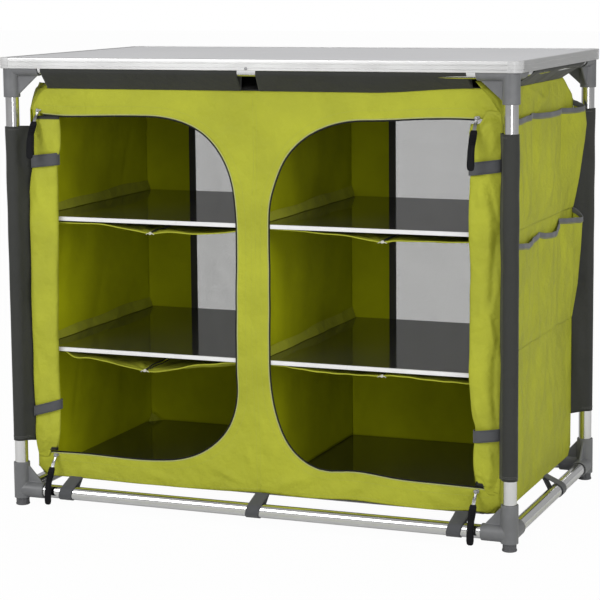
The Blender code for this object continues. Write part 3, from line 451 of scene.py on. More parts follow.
def moulded(name, color, roughness, grain=0.00006, specular=0.5):
    """Moulded plastic: fine spark-eroded grain and faint flow marks."""
    s = Surface(name, color, roughness)
    solid = s.place("Object")
    cloudy = s.noise(solid, 40.0, 2.0)
    s.tint(cloudy, shade(color, 0.93), shade(color, 1.07), 0.35, 0.65)
    s.gloss(s.ramp(cloudy, roughness - 0.05, roughness + 0.05, 0.35, 0.65))
    s.bump(s.noise(solid, 2200.0, 2.0, 0.6), grain, 0.6)
    s.set(**{"Specular IOR Level": specular})
    return s.material


GREEN = (0.420, 0.440, 0.034)
DARK = (0.0345, 0.036, 0.0325)
TAPE = (0.060, 0.062, 0.058)
# The next colour is the doorway binding's: the green cloth made paler and less green, a painted highlight along
# the bound edge.
PAINTED_EDGE_HIGHLIGHT = (0.400, 0.420, 0.140)
STRAP = (0.078, 0.081, 0.088)

green_cloth = woven("green_cloth", GREEN, 0.66, crumple=0.0009, specular=0.22).material
# Painted light: a brighter copy of the green cloth with its blue taken out, for the walls' inner faces, painting
# the green light that bounces about inside the bays.
inner_cloth_painted_light = woven("inner_cloth_painted_light", (0.540, 0.570, 0.008), 0.75, crumple=0.0002, specular=0.06).material
# Painted light and shade: a copy of the green cloth for the wall between the bays, with its blue taken out to
# paint the green bounced light, and darker than the other inner faces to paint its shade.
divider_cloth_painted_shade = woven("divider_cloth_painted_shade", (0.430, 0.455, 0.007), 0.75, crumple=0.0002, specular=0.06).material
dark_cloth = woven("dark_cloth", DARK, 0.70, sheen=0.10).material
dark_tape = webbing("dark_tape", TAPE)
zip_black = webbing("zip_black", (0.014, 0.015, 0.012))
strap_webbing = webbing("strap_webbing", STRAP)
rail_bright = {axis: brushed("rail_bright_" + axis.lower(), (0.80, 0.80, 0.80), 0.14, axis) for axis in "XYZ"}
rim_silver = brushed("rim_silver", (0.74, 0.74, 0.735), 0.38, "X")
corner_silver = moulded("corner_silver", (0.56, 0.56, 0.56), 0.30, 0.00002)
connector_grey = moulded("connector_grey", (0.150, 0.153, 0.158), 0.42)
foot_grey = moulded("foot_grey", (0.085, 0.086, 0.090), 0.55)
slider_metal = brushed("slider_metal", (0.42, 0.42, 0.43), 0.33, "Z")
pull_black = moulded("pull_black", (0.007, 0.007, 0.0085), 0.60, specular=0.12)


def painted_top():
    """Pale grey laminate: a fine speckle under a smooth lacquer."""
    s = Surface("pale_laminate", (0.67, 0.67, 0.685), 0.45)
    solid = s.place("Object")
    s.tint(s.noise(solid, 700.0, 3.0, 0.65), (0.645, 0.645, 0.660), (0.695, 0.695, 0.708))
    s.gloss(s.ramp(s.noise(solid, 5.0, 2.0), 0.40, 0.50))
    s.bump(s.noise(solid, 420.0, 2.0), 0.00003, 0.4)
    return s.material


def dark_laminate():
    """Shelf boards: near black laminate with a gloss that mirrors the compartment."""
    s = Surface("dark_laminate", (0.030, 0.028, 0.030), 0.10)
    solid = s.place("Object")
    s.tint(s.noise(solid, 500.0, 2.0, 0.6), (0.026, 0.025, 0.027), (0.036, 0.034, 0.036))
    s.gloss(s.ramp(s.noise(solid, 14.0), 0.05, 0.10))
    s.bump(s.noise(solid, 60.0, 2.0), 0.00004, 0.3)
    s.set(**{"Specular IOR Level": 1.0, "IOR": 1.7})
    return s.material


def pale_trim():
    """The shelf boards' front edge: a white lacquered strip."""
    s = Surface("pale_trim", (0.80, 0.80, 0.80), 0.30)
    cloudy = s.noise(s.place("Object"), 30.0, 2.0)
    s.tint(cloudy, (0.77, 0.77, 0.77), (0.82, 0.82, 0.82))
    s.gloss(s.ramp(cloudy, 0.25, 0.36))
    return s.material


def fly_net():
    """Fine square net: threads where either of two sines in UV is near zero, holes between them."""
    s = Surface("fly_net", (0.30, 0.305, 0.31), 0.75)
    pitch, share = 0.0013, 0.31
    part = s.node("SeparateXYZ", {"Vector": s.place("UV")})
    threads = []
    for axis in ("X", "Y"):
        wave = s.math("ABSOLUTE", s.math("SINE", s.math("MULTIPLY", part.outputs[axis], math.pi / pitch)))
        threads.append(s.math("LESS_THAN", wave, math.sin(math.pi / 2 * share)))
    s.feed(s.shader, "Alpha", s.math("MAXIMUM", *threads))
    s.tint(s.noise(s.place("Object"), 12.0), (0.27, 0.275, 0.28), (0.33, 0.335, 0.34))
    return s.material


board_top = painted_top()
board_dark = dark_laminate()
shelf_trim = pale_trim()
net_grey = fly_net()


def plain_thread(name, color):
    """Sewing thread and cord: matt, a twist shown as fine lines."""
    s = Surface(name, color, 0.7)
    s.bump(s.noise(s.place("Object"), 1800.0, 2.0), 0.00008, 0.7)
    s.tint(s.noise(s.place("Object"), 900.0), shade(color, 0.85), shade(color, 1.1))
    return s.material


# The doorway binding: a pale copy of the green cloth, a painted highlight along the edge.
binding_painted_highlight = plain_thread("binding_painted_highlight", PAINTED_EDGE_HIGHLIGHT)
stitch_green = plain_thread("stitch_green", (0.36, 0.385, 0.06))
stitch_dark = plain_thread("stitch_dark", (0.030, 0.031, 0.030))
tie_cord = plain_thread("tie_cord", (0.62, 0.61, 0.55))
stitch_pale = plain_thread("stitch_pale", (0.15, 0.152, 0.15))
pocket_tape = webbing("pocket_tape", (0.115, 0.118, 0.125))


def taped_cloth():
    """The doors' green cloth, with the dark zip tape along its edges where the tape attribute says."""
    s = woven("door_cloth", GREEN, 0.64, crumple=0.0009, specular=0.24)
    edge = s.node("Attribute", attribute_name="tape").outputs["Fac"]
    s.paint(s.mix(edge, s.shader.inputs["Base Color"].links[0].from_socket, (0.020, 0.021, 0.020)))
    return s.material


door_cloth = taped_cloth()


# Frame, top and feet

def dress(names, material):
    """Give CAD nodes whose shape is right a finished material."""
    for name in names:
        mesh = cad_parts[name].data
        mesh.materials.clear()
        mesh.materials.append(material)


def build_tubes():
    """Legs and rails: outer wall, bore and rounded rims turned round each tube's own line."""
    bore, rim = TUBE_R - 0.0012, 0.0003
    for name in [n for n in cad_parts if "_rail_" in n or n.startswith("leg_tube")]:
        low, high = (np.array(p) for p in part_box(name))
        axis = int(np.argmax(high - low))
        start = (low + high) / 2
        start[axis] = low[axis]
        length = float(high[axis] - low[axis])
        profile = [(bore, 0.0), (TUBE_R - rim, 0.0), (TUBE_R, rim), (TUBE_R, length - rim),
                   (TUBE_R - rim, length), (bore, length)]
        tube = turned(profile, start, np.eye(3)[axis], sides=72, loop=True)
        solid_piece("bright_" + name, [tube], rail_bright["XYZ"[axis]], replaces=(name,))


def socket(direction, reach, start, radius):
    """A socket turned about its own line: wall, rounded mouth, and a recess in the mouth round the tube."""
    recess, edge = TUBE_R + 0.0006, 0.0011
    profile = [(0.0, start), (radius, start), (radius, reach - edge), (radius - edge * 0.3, reach - edge * 0.3),
               (radius - edge, reach), (recess, reach), (recess, reach - 0.0045), (0.0, reach - 0.0045)]
    return turned(profile, (0, 0, 0), direction, sides=64)


def connector_skin(arm, leg, upright, end):
    """A moulded connector for the corner at +X +Y with its tube lines crossing at zero.

    Three sockets and two gusset plates with a straight slanting edge are fused by a voxel skin,
    and smoothing leaves a fillet along every line where they meet.
    """
    share = np.linspace(0, 1, 9)
    a = np.array([-(arm - 0.005), upright * SOCKET_R * 0.93])
    b = np.array([-SOCKET_R * 0.93, upright * (leg - 0.005)])
    edge = a + (b - a) * share[:, None]
    web = np.concatenate([[[-0.004, upright * 0.004]], edge])
    parts = [socket((-1, 0, 0), arm, -0.004, SOCKET_R), socket((0, -1, 0), arm, -0.004, SOCKET_R),
             socket((0, 0, upright), leg, -end, SOCKET_R + 0.0003),
             plate(web, 0.0044, 0.0012, lambda x, z, t: (x, t, z)),
             plate(web, 0.0044, 0.0012, lambda y, z, t: (t, y, z))]
    points, quads, fans = joined(parts)
    if upright < 0:
        points[:, 2] = np.minimum(points[:, 2], end)
    rough = linked("connector_blank", raw_mesh("connector_blank", points, quads, fans))
    skinned = rough.modifiers.new("fuse", "REMESH")
    skinned.mode = "VOXEL"
    skinned.voxel_size = 0.0007
    even_out = rough.modifiers.new("fillet", "SMOOTH")
    even_out.factor = 0.5
    even_out.iterations = 5
    fewer = rough.modifiers.new("fewer", "DECIMATE")
    fewer.ratio = 0.3
    bpy.context.view_layer.update()
    made = bpy.data.meshes.new_from_object(rough.evaluated_get(bpy.context.evaluated_depsgraph_get()))
    made.calc_loop_triangles()
    corner = np.empty(len(made.loop_triangles) * 3, np.int32)
    made.loop_triangles.foreach_get("vertices", corner)
    place = np.empty(len(made.vertices) * 3, np.float32)
    made.vertices.foreach_get("co", place)
    bpy.data.objects.remove(rough)
    bpy.data.meshes.remove(made)
    return place.reshape(-1, 3).astype(float), np.zeros((0, 4), int), corner.reshape(-1, 3)


def build_connectors():
    """Eight connectors from two skins, mirrored to their corners."""
    kinds = (("upper", UPPER_Z, connector_skin(0.060, 0.055, -1, 0.0140)),
             ("lower", LOWER_Z, connector_skin(0.050, 0.053, 1, SOCKET_R + 0.0012)))
    for kind, height, (points, quads, fans) in kinds:
        for corner, sx, sy in CORNERS:
            name = kind + "_connector_" + corner
            placed = points * (sx, sy, 1) + (sx * LEG_X, sy * LEG_Y, height)
            solid_piece("moulded_" + name, [(placed, quads, fans)], connector_grey,
                        replaces=(name,), sharp=50, weld=0)


RIM_HALF_X, RIM_HALF_Y, RIM_RADIUS, RIM_TOP = 0.500, 0.290, 0.016, 0.850


def rim_profile():
    """The extrusion's section as (inset, height below the top): ribbed wall, round shoulder and lip."""
    wall = mm([(1.2, 20.0), (0.5, 20.0), (0, 19.5), (0, 15.8), (0.5, 15.3), (0.5, 14.7),
               (0, 14.2), (0, 8.3), (0.5, 7.8), (0.5, 7.2), (0, 6.7), (0, 1.4)])
    t = np.radians([15, 35, 55, 75, 90])
    shoulder = 0.0014 * grid_of(1 - np.cos(t), 1 - np.sin(t))
    return np.concatenate([wall, shoulder, mm([(5.4, 0), (6.0, 0.3), (6.0, 0.7), (1.2, 0.7)])])


def build_top():
    """The rim is its section carried round a rectangle with round corners; corner caps and a screw sit on it."""
    section = rim_profile()
    rings = []
    for inset, down in section:
        flat = rounded_outline(RIM_HALF_X - inset, RIM_HALF_Y - inset, RIM_RADIUS - inset, steps=16)
        rings.append(grid_of(*flat.T, RIM_TOP - down))
    solid_piece("ribbed_top_rim", [skin(rings, loop=True)], rim_silver,
                replaces=("top_rim",), sharp=30)
    cap_section = np.concatenate([section[1:-2] + (-0.0005, -0.0002), section[1:-2][::-1] + (0.0003, 0.0003)])
    t = np.clip(np.arange(-1, 20), 0, 18) * math.pi / 36
    stations = np.tile((RIM_HALF_X - RIM_RADIUS, RIM_HALF_Y - RIM_RADIUS), (21, 1))
    stations[0, 1] -= 0.006
    stations[-1, 0] -= 0.006
    flat = stations[:, None] + grid_of(np.cos(t), np.sin(t))[:, None] * (RIM_RADIUS - cap_section[:, :1])
    cap = grid_of(flat[..., 0], flat[..., 1], RIM_TOP - cap_section[:, 1])
    for corner, sx, sy in CORNERS:
        solid_piece("rim_corner_" + corner, [skin(cap * (sx, sy, 1))], corner_silver, sharp=40)
    angle = np.arange(48) * math.pi / 24
    share = np.linspace(1, 0.04, 14)[:, None]
    x, z = share * np.cos(angle) * 0.0028, share * np.sin(angle) * 0.0028
    thin, wide = np.minimum(np.abs(x), np.abs(z)), np.maximum(np.abs(x), np.abs(z))
    height = 0.0016 * np.sqrt(np.clip(1 - share ** 2 * 0.96, 0, 1)) - 0.0007 * ((thin < 0.00036) & (wide < 0.0016))
    face = grid_of(x, -RIM_HALF_Y - height, z + 0.8336)
    back = face[:1] * (1, 0, 1) + (0, -RIM_HALF_Y + 0.0006, 0)
    solid_piece("rim_screw", [skin(np.concatenate([back, face]))], slider_metal, sharp=50)
    dress(["top_board"], board_top)


def build_feet():
    """Screw feet: a domed sole, a grip whose radius waves twelve times round, and a stem with a screw thread."""
    angle = np.arange(96) * math.pi / 48
    # Height, radius in mm, share of the flutes' depth
    rings = ((0, 11.8, 0), (0.3, 12.6, 0), (1.2, 13.2, 0), (3.0, 13.2, 0), (3.7, 12.8, 0), (4.0, 12.2, 0),
             (4.3, 12.2, 0.4), (5.2, 12.5, 1), (12.0, 12.5, 1), (13.1, 12.1, 0.7), (13.5, 11.2, 0), (13.5, 4.2, 0))
    z, radius, depth = np.array(rings).T[..., None]
    grip = grid_of(radius / 1000 - 0.0009 * depth * (1 - np.cos(12 * angle)) / 2, z / 1000)
    z = np.linspace(0.0137, 0.0352, 76)[:, None]
    thread = 0.0035 + 0.0010 * np.abs((z / 0.00125 - angle / (2 * math.pi)) % 1.0 - 0.5)
    stem = grid_of(thread * np.clip((0.0352 - z) / 0.0008, 0.8, 1), z)
    radius, z = np.moveaxis(np.concatenate([grip, stem]), -1, 0)
    rings = grid_of(radius * np.cos(angle), radius * np.sin(angle), z)
    for corner, sx, sy in CORNERS:
        solid_piece("screw_foot_" + corner, [skin(rings + (sx * LEG_X, sy * LEG_Y, 0))], foot_grey,
                    body="levelling_foot_" + corner, replaces=("foot_" + corner,), sharp=42)


def build_boards():
    """Dark boards, and a pale strip with round edges folded over each shelf board's front edge."""
    shelves = [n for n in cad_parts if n.startswith("shelf_board")]
    dress(shelves + ["floor_board_left", "floor_board_right"], board_dark)
    over = mm([(3.5, 0.2), (0.2, 0.3), (-0.3, -0.1), (-0.4, -0.8)])
    under = mm([(-0.4, 0.5), (-0.2, -0.2), (3.0, -0.3), (3.0, 0), (0, 0)])
    strips = []
    for name in shelves:
        low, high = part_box(name)
        top, foot = (low[1], high[2]), (low[1], low[2])
        section = np.concatenate([over + top, under + foot, mm([(0, 0), (3.5, 0)]) + top])
        strips.append(skin([grid_of(x, *section.T) for x in (low[0] + 0.0002, high[0] - 0.0002)]))
    solid_piece("pale_shelf_edges", strips, shelf_trim, sharp=30)


# Zips: sliders, tabs and grips

# The line on which a pull hangs, in mm: y, and z from its eye
PULL_LINE = ((-258.2, 0), (-258.2, -6), (-266.2, -13), (-280, -35.5), (-289.1, -56), (-291.5, -87.5))
SLIDER_KEYS = ("left_top", "left_bottom", "right_top", "right_bottom")


def mirrored(left, count):
    """A closed outline from its left half, mirrored at x = 0, with its points at even distances."""
    left = np.asarray(left)
    return even(np.concatenate([left, left[::-1] * (-1, 1), left[:1]]), count)[:-1]


def pebble(half_x, wide, narrow, steps=28):
    """A soft wedge outline: a squared ellipse whose height runs from wide at -X to narrow at +X."""
    t = np.arange(steps) * 2 * math.pi / steps
    x = np.sign(np.cos(t)) * np.abs(np.cos(t)) ** 0.7
    z = np.sign(np.sin(t)) * np.abs(np.sin(t)) ** 0.6
    return np.column_stack([x * half_x, z * (wide + (narrow - wide) * (x + 1) / 2)])


def along_pull(x0, z0):
    """Puts (across, along, out) onto the pull's line, below its eye at (x0, z0); also gives its length."""
    line = smooth_path(mm(PULL_LINE), 90)
    at = lengths(line)
    ahead = unit(np.gradient(line, axis=0))
    out = grid_of(ahead[:, 1], -ahead[:, 0])
    out = out * np.where(out[:, :1] > 0, -1, 1)

    def place(x, s, t):
        y, z = (np.interp(s, at, line[:, i]) + t * np.interp(s, at, out[:, i]) for i in (0, 1))
        return x0 + x, y, z0 + z

    return place, at[-1]


def build_zip_hardware():
    """Sliders: two soft wedge plates on a core, a bridge and a rivet. Pulls: a metal tab and a black grip."""
    face = -BODY_Y - 0.0003
    outline, core = pebble(0.0050, 0.0040, 0.0019), pebble(0.0030, 0.0014, 0.0010)
    arch = np.linspace(0, math.pi, 13)
    bridge = grid_of(-0.0034 * np.cos(arch), face - 0.0046 - 0.0016 * np.sin(arch), 0)
    rivet = mm([(0, 0), (1.0, 0), (1.0, 3.8), (2.2, 3.8), (2.2, 4.3), (1.9, 4.7), (1.2, 5.0), (0, 5.1)])
    ring = mm([(1.4, -0.5), (3.4, -0.5), (3.6, -0.2), (3.6, 0.2), (3.4, 0.5), (1.4, 0.5)])
    tab_line = mm([(-2.6, 2.6), (-2.2, 6.0), (-3.0, 11.0), (-3.2, 20.0), (-3.0, 30.0)])
    for key in SLIDER_KEYS:
        low, high = (np.array(p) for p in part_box("zip_slider_" + key))
        x0, _, z0 = (low + high) / 2
        turn = -1.0 if x0 > 0 else 1.0

        def at(depth):
            return lambda x, z, t: (x0 + turn * x, face - depth + t, z0 + z)

        parts = [plate(outline, 0.0013, 0.0004, at(0.0008)), plate(outline, 0.0014, 0.0005, at(0.0040)),
                 plate(core, 0.0032, 0.0002, at(0.0024)),
                 sweep(bridge + (x0, 0, z0), (0, 0, 1), slab_profile(0.0030, 0.0007)),
                 turned(rivet, (x0, face - 0.0036, z0), (0, -1, 0), sides=32)]
        solid_piece("slider_" + key, parts, slider_metal, body="slider_" + key,
                    replaces=("zip_slider_" + key,), sharp=40)
        place, reach = along_pull(x0, z0)
        eye = turned(ring, (x0, -0.2582, z0), (0, 1, 0), sides=32, loop=True)
        tab = plate(mirrored(tab_line, 60), 0.0011, 0.0003, place)
        solid_piece("pull_tab_" + key, [eye, tab], slider_metal, body="pull_" + key, sharp=40)
        half, top = 0.0068, 0.0255
        grip_line = [(-half * 0.75, top), (-half * 0.95, top + 0.004), (-half, top + 0.016),
                     (-half * 0.9, top + 0.030),
                     (-half, reach - 0.008), (-half * 0.85, reach - 0.002), (-half * 0.4, reach)]
        body = plate(mirrored(grip_line, 96), 0.0024, 0.0008, lambda x, s, t: place(x, s, t + 0.0006))
        ribs = [plate(rounded_outline(half * 0.6, 0.0007, 0.0006, 3, (0.0, top + 0.010 + 0.004 * i)),
                      0.0008, 0.0003,
                      lambda x, s, t: place(x, s, t + 0.0018)) for i in range(5)]
        solid_piece("pull_grip_" + key, [body, *ribs], pull_black, body="pull_" + key,
                    replaces=("zip_pull_" + key,), sharp=40)


# How the cloth walls lie: soft pushes in the wall's own plane and folds out of it

# Each push on the front wall, in mm: centre x, z, reach along x, reach along z, shift along x, shift along z
FRONT_PUSHES = ((185, 70, 70, 45, 0, 4.5), (397, 60, 30, 20, 0, 3.5), (-200, 55, 120, 30, 0, -1.2),
                (5, 58, 60, 25, 0, 3.5), (435, 58, 45, 26, 0, 2.2), (-457, 705, 30, 60, 8.5, 0))

# How far a doorway's edge is drawn in, in mm, at equal steps along its zip from the upper end to the lower one
DOORWAY_PULLS = {
    -1: (1.5, 5.6, 4.5, 3.3, 2.2, 2, 2.8, 1, -1, 0.6, 4, 8.2, 9.4, 8.6, 9.7, 11.6, 11.4, 11.7, 12.3, 9.8,
         7.6, 6.9, 7, 5.5, 3.4, -0.6, -1, 0, 1.5, 0.8, 0),
    1: (0, -2.8, -2.7, -1.5, 1.5, 2.9, 3.4, 2.4, -1.8, -4.8, -3.6, -5.5, -5, -4.5, -4.1, -4.3, -5, -6.1, -6,
        -2.9, -1.4, -6.3, -8.4, -3.2, 9.4, 7, 3.4, 2.3, 2, 1.2, 0),
}

# Each fold on the front wall, in mm: from x, z to x, z, width, height (outward is plus)
FRONT_FOLDS = ((0, 792, 0, 590, 1.6, -1.2), (-20, 790, 12, 745, 5, 2.2), (8, 790, 22, 752, 4.5, 1.8),
               (20, 788, -12, 758, 4, -1.4), (-90, 785, -62, 752, 4, 1.4), (18, 628, -22, 598, 3.5, 1.2),
               (-26, 636, 4, 604, 3, 1), (-130, 118, -10, 58, 8, 3), (-95, 88, -8, 56, 5, -1.8),
               (-45, 190, 0, 66, 6, 1.6), (125, 112, 12, 58, 8, 2.8), (50, 170, 6, 66, 6, 1.4),
               (-20, 215, 20, 170, 5, 1.2), (-250, 85, -150, 60, 8, 1.8), (-330, 80, -390, 58, 7, 2),
               (215, 84, 150, 62, 9, 2.6), (300, 90, 385, 60, 8, 1.8), (398, 792, 436, 745, 5.5, -2.6),
               (402, 770, 452, 764, 2.8, 1.4), (404, 757, 455, 751, 2.8, 1.3),
               (408, 744, 455, 738, 2.8, 1.2), (412, 782, 446, 775, 2.6, -1.2),
               (-430, 790, -452, 720, 6, 1.8), (-300, 786, -340, 752, 6, 0.8))

# Each fold on the rear wall, the same way
REAR_FOLDS = ((-50, 300, 20, 80, 10, 3), (80, 280, 0, 70, 10, 2.5), (-420, 260, -340, 80, 12, 3),
              (420, 220, 300, 90, 12, 3), (0, 790, 10, 700, 6, 2), (-200, 300, -160, 120, 12, 2))

# Each fold on the right side wall, in mm: from y, z to y, z, width, height; the left wall has them mirrored
# and half as high
SIDE_FOLDS = ((-200, 740, -120, 550, 12, 3.6), (100, 600, 160, 360, 14, 3.2), (-50, 450, 40, 200, 14, 3.6),
              (200, 500, 220, 200, 10, 3.4), (-160, 360, -100, 120, 12, 3.4), (-100, 790, 60, 757, 6, 2.2),
              (60, 280, 120, 80, 10, 3.0), (-60, 740, 100, 790, 8, 2.6))
EDGE_ROUND = 0.0045


def smoothed(values, count):
    """Values at even steps, each averaged with its neighbours under a Hann window of count steps."""
    window = np.hanning(count) / np.hanning(count).sum()
    return np.convolve(np.pad(values, count // 2, mode="edge"), window, "valid")


def doorway_normal(line, side):
    """The direction across a doorway's edge and into the opening, at each point of a line along its zip."""
    ahead = unit(np.gradient(line, axis=0))
    return np.column_stack([-ahead[:, 1], ahead[:, 0]]) * side


def rounded_edge(x):
    """How far the upright edges are rounded back at x, and the share of the wall's relief that is left there."""
    beyond = np.clip(np.abs(x) - (BODY_X - EDGE_ROUND), 0, EDGE_ROUND)
    return EDGE_ROUND - np.sqrt(EDGE_ROUND ** 2 - beyond ** 2 * 0.98), 1 - beyond / EDGE_ROUND


def bell(offset, reach):
    """1 in the middle, fading away on both sides."""
    return np.exp(-(offset / reach) ** 2)


def front_point(x, z, lift=0.0):
    """A point of the front wall: its flat place, pushed and folded, and rounded back at the two upright edges."""
    shift_x, shift_z = front_shift(x, z) + doorway_pull(x, z)
    out = ripples(x, z, 3, 0.110, 0.0006) + 0.0004 + folds(x, z, FRONT_FOLDS)
    back, left = rounded_edge(x)
    y = -BODY_Y + CLOTH / 2 - out * (1 - bell(BODY_TOP - z, 0.006)) * left + back - lift
    raised = z + shift_z * (1 - bell(z - BODY_TOP, 0.02)) + top_lift(x, -BODY_Y) * near_top(z)
    return grid_of(x + shift_x, y, raised)


def front_shift(x, z):
    """The front wall's pushes in its own plane, away from the doorways' edges: along x, along z."""
    pushes = mm(FRONT_PUSHES)
    near = [bell(x - cx, rx) * bell(z - cz, rz) for cx, cz, rx, rz, _, _ in pushes]
    return np.tensordot(pushes[:, 4:].T, near, 1)


def top_lift(x, y):
    """How far the upper seam is drawn up above its plan: along the right side and at the front's right end."""
    side = 0.0075 * ease((x - 0.36) / 0.097)
    front = 0.0095 * ease((x - 0.22) / 0.19) * np.exp(-((y + BODY_Y) / 0.06) ** 2)
    return np.maximum(side, front)


def near_top(z):
    """0 up to a hand's breadth below the upper seam and 1 on it."""
    return np.clip((z - 0.735) / (BODY_TOP - 0.735), 0, None) ** 1.5


def ease(t):
    """0 to 1 with level ends."""
    t = np.clip(t, 0, 1)
    return t * t * (3 - 2 * t)


def doorway_pull(x, z):
    """The cloth's shift near a doorway: the tabled pull across its edge, fading away from it on both sides."""
    flat = grid_of(x, z).reshape(-1, 2)
    total = np.zeros_like(flat)
    for side, pulls in DOORWAY_PULLS.items():
        line = even(zip_outline(), 481) * (side, 1)
        inward = doorway_normal(line, side)
        pull = smoothed(np.interp(np.linspace(0, 1, 481), np.linspace(0, 1, len(pulls)), mm(pulls)), 33)
        gap = np.hypot(flat[:, :1] - line[:, 0], flat[:, 1:] - line[:, 1])
        nearest = gap.argmin(axis=1)
        fade = bell(gap[np.arange(len(flat)), nearest], 0.028)
        total = total + inward[nearest] * (pull[nearest] * fade)[:, None]
    return total.T.reshape(2, *np.shape(x + z))


def rear_point(x, z):
    """A point of the rear wall, with soft unevenness and the same rounded edges."""
    out = ripples(x, z, 11, 0.140, 0.0008) + folds(x, z, REAR_FOLDS)
    near_net = bell(z - 0.245, 0.02) + (z > 0.245)
    back, _ = rounded_edge(x)
    y = BODY_Y - CLOTH / 2 + out * np.clip(1 - near_net, 0, 1) - back
    return grid_of(x, y, z + top_lift(x, BODY_Y) * near_top(z))


SHELF_TOPS = sorted(float(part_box("shelf_board_left_" + level)[1][2]) for level in ("lower", "upper"))


def clear_of_boards(z):
    """0 at the heights of the boards, which press on the walls, and 1 away from them."""
    return np.prod([1 - bell(z - top + 0.003, 0.020) for top in (0.0588, *SHELF_TOPS)], axis=0)


def side_point(side, y, z, lift=0.0):
    """A point of a side wall; it swells gently between the boards and has soft upright folds."""
    out = ripples(y, z * 0.45, 21 if side > 0 else 22, 0.080, 0.0011)
    out = out + folds(y * side, z, SIDE_FOLDS) * (1 if side > 0 else 0.5)
    edge = 1 - bell(BODY_Y - EDGE_ROUND - np.abs(y), 0.010)
    x = side * (BODY_X - CLOTH / 2 + (out + 0.0004) * clear_of_boards(z) * edge + lift)
    return grid_of(x, y, z + top_lift(side * BODY_X, y) * near_top(z))


def corner_cut(rise):
    """The share of the cut across at a share of the rise up it: a slanting line that is a little rounded."""
    rise = np.clip(rise, 0, 1)
    return 0.7 * rise + 0.3 * (1 - np.sqrt(1 - rise ** 2))


def wall_outline():
    """The right half of a wall seen square on, from bottom middle: slanting corners, the upper one rounded."""
    rise = np.sin(np.linspace(0, math.pi / 2, 15))
    upper = grid_of(BODY_X - TOP_CUT_ACROSS * corner_cut(rise), BODY_TOP - TOP_CUT_DOWN * (1 - rise))
    foot = [(0.0, HEM_Z), (BODY_X - FOOT_CUT_ACROSS, HEM_Z), (BODY_X, HEM_Z + FOOT_CUT_DOWN)]
    return np.concatenate([foot, upper, [(0.0, BODY_TOP)]])


def zip_outline():
    """The right doorway's edge along its zip, from its upper outer corner to its lower one."""
    return d_outline()[1:]


def d_outline():
    """The right doorway, anticlockwise from its lower outer corner: its round side faces the middle.

    The round corners are superellipses: (x/a)^2.2 + (z/b)^2.2 = 1.
    """
    t = np.linspace(0, math.pi / 2, 40)
    across, up = 1 - np.sin(t) ** (2 / 2.2), 1 - np.cos(t) ** (2 / 2.2)
    (a, b), (c, d) = DOOR_BENDS
    upper = grid_of(DOOR_INNER + a * across, DOOR_TOP - b * up)
    lower = grid_of(DOOR_INNER + c * across, DOOR_FOOT + d * up)[::-1]
    return np.concatenate([[(DOOR_OUTER, DOOR_FOOT), (DOOR_OUTER, DOOR_TOP)], upper, lower,
                           [(DOOR_OUTER, DOOR_FOOT)]])


def ray_hits(outline, centre, angles):
    """Where rays from a centre cross a closed outline, by interpolating its points over their angle."""
    dense = even(np.concatenate([outline, outline[:1]]), 4000)[:-1]
    spoke = dense - centre
    bearing = np.arctan2(spoke[:, 1], spoke[:, 0])
    order = np.argsort(bearing)
    at = np.concatenate([bearing[order] - 2 * math.pi, bearing[order], bearing[order] + 2 * math.pi])
    return np.stack([np.interp(angles, at, np.tile(dense[order, i], 3)) for i in (0, 1)], axis=1)


def holed_wall(name, opening, place, rings=18, count=440, **sheet):
    """A wall with one opening each side: rings of points run from the opening's edge out to the half wall's edge.

    The two halves are mirror images in plan and share their points on the middle line.
    """
    outline = wall_outline()
    centre = (opening.min(axis=0) + opening.max(axis=0)) / 2
    inner = even(np.concatenate([opening, opening[:1]]), count + 1)[:-1]
    spoke = np.concatenate([inner, outline, opening[:2]]) - centre
    angles = np.sort(np.arctan2(spoke[:, 1], spoke[:, 0]))
    inner, outer = ray_hits(opening, centre, angles), ray_hits(outline, centre, angles)
    outer[outer[:, 0] < 0.0008, 0] = 0.0
    share = np.linspace(0, 1, rings)[:, None, None]
    flat = inner * (1 - share) + outer * share
    uv = np.concatenate([flat * (-1, 1), flat]).reshape(-1, 2)
    quads = grid_quads(rings, len(angles), wrap_columns=True)
    quads = np.concatenate([quads[:, ::-1], quads + flat.size // 2])
    return sheet_piece(name, place(*uv.T), quads, uv, inner_cloth_painted_light, CLOTH, (2 * BODY_X, BODY_TOP - BODY_BOTTOM),
                       rests_on=["roof_cloth", "floor_cloth"], lining=green_cloth, weld=0.0004, **sheet)


def build_front_and_rear():
    """The front wall round its two doorways and the rear wall round its two windows."""
    holed_wall("cloth_front", d_outline()[:-1], front_point, replaces=("front_panel",), area=0.203)
    window = rounded_outline(WINDOW_HALF_X, WINDOW_HALF_Z, 0.030, 8, (WINDOW_X, WINDOW_Z))
    holed_wall("cloth_rear", window, rear_point, rings=26, count=280, flip=True, replaces=("rear_panel",),
               area=2 * BODY_X * (BODY_TOP - BODY_BOTTOM) - 8 * WINDOW_HALF_X * WINDOW_HALF_Z)


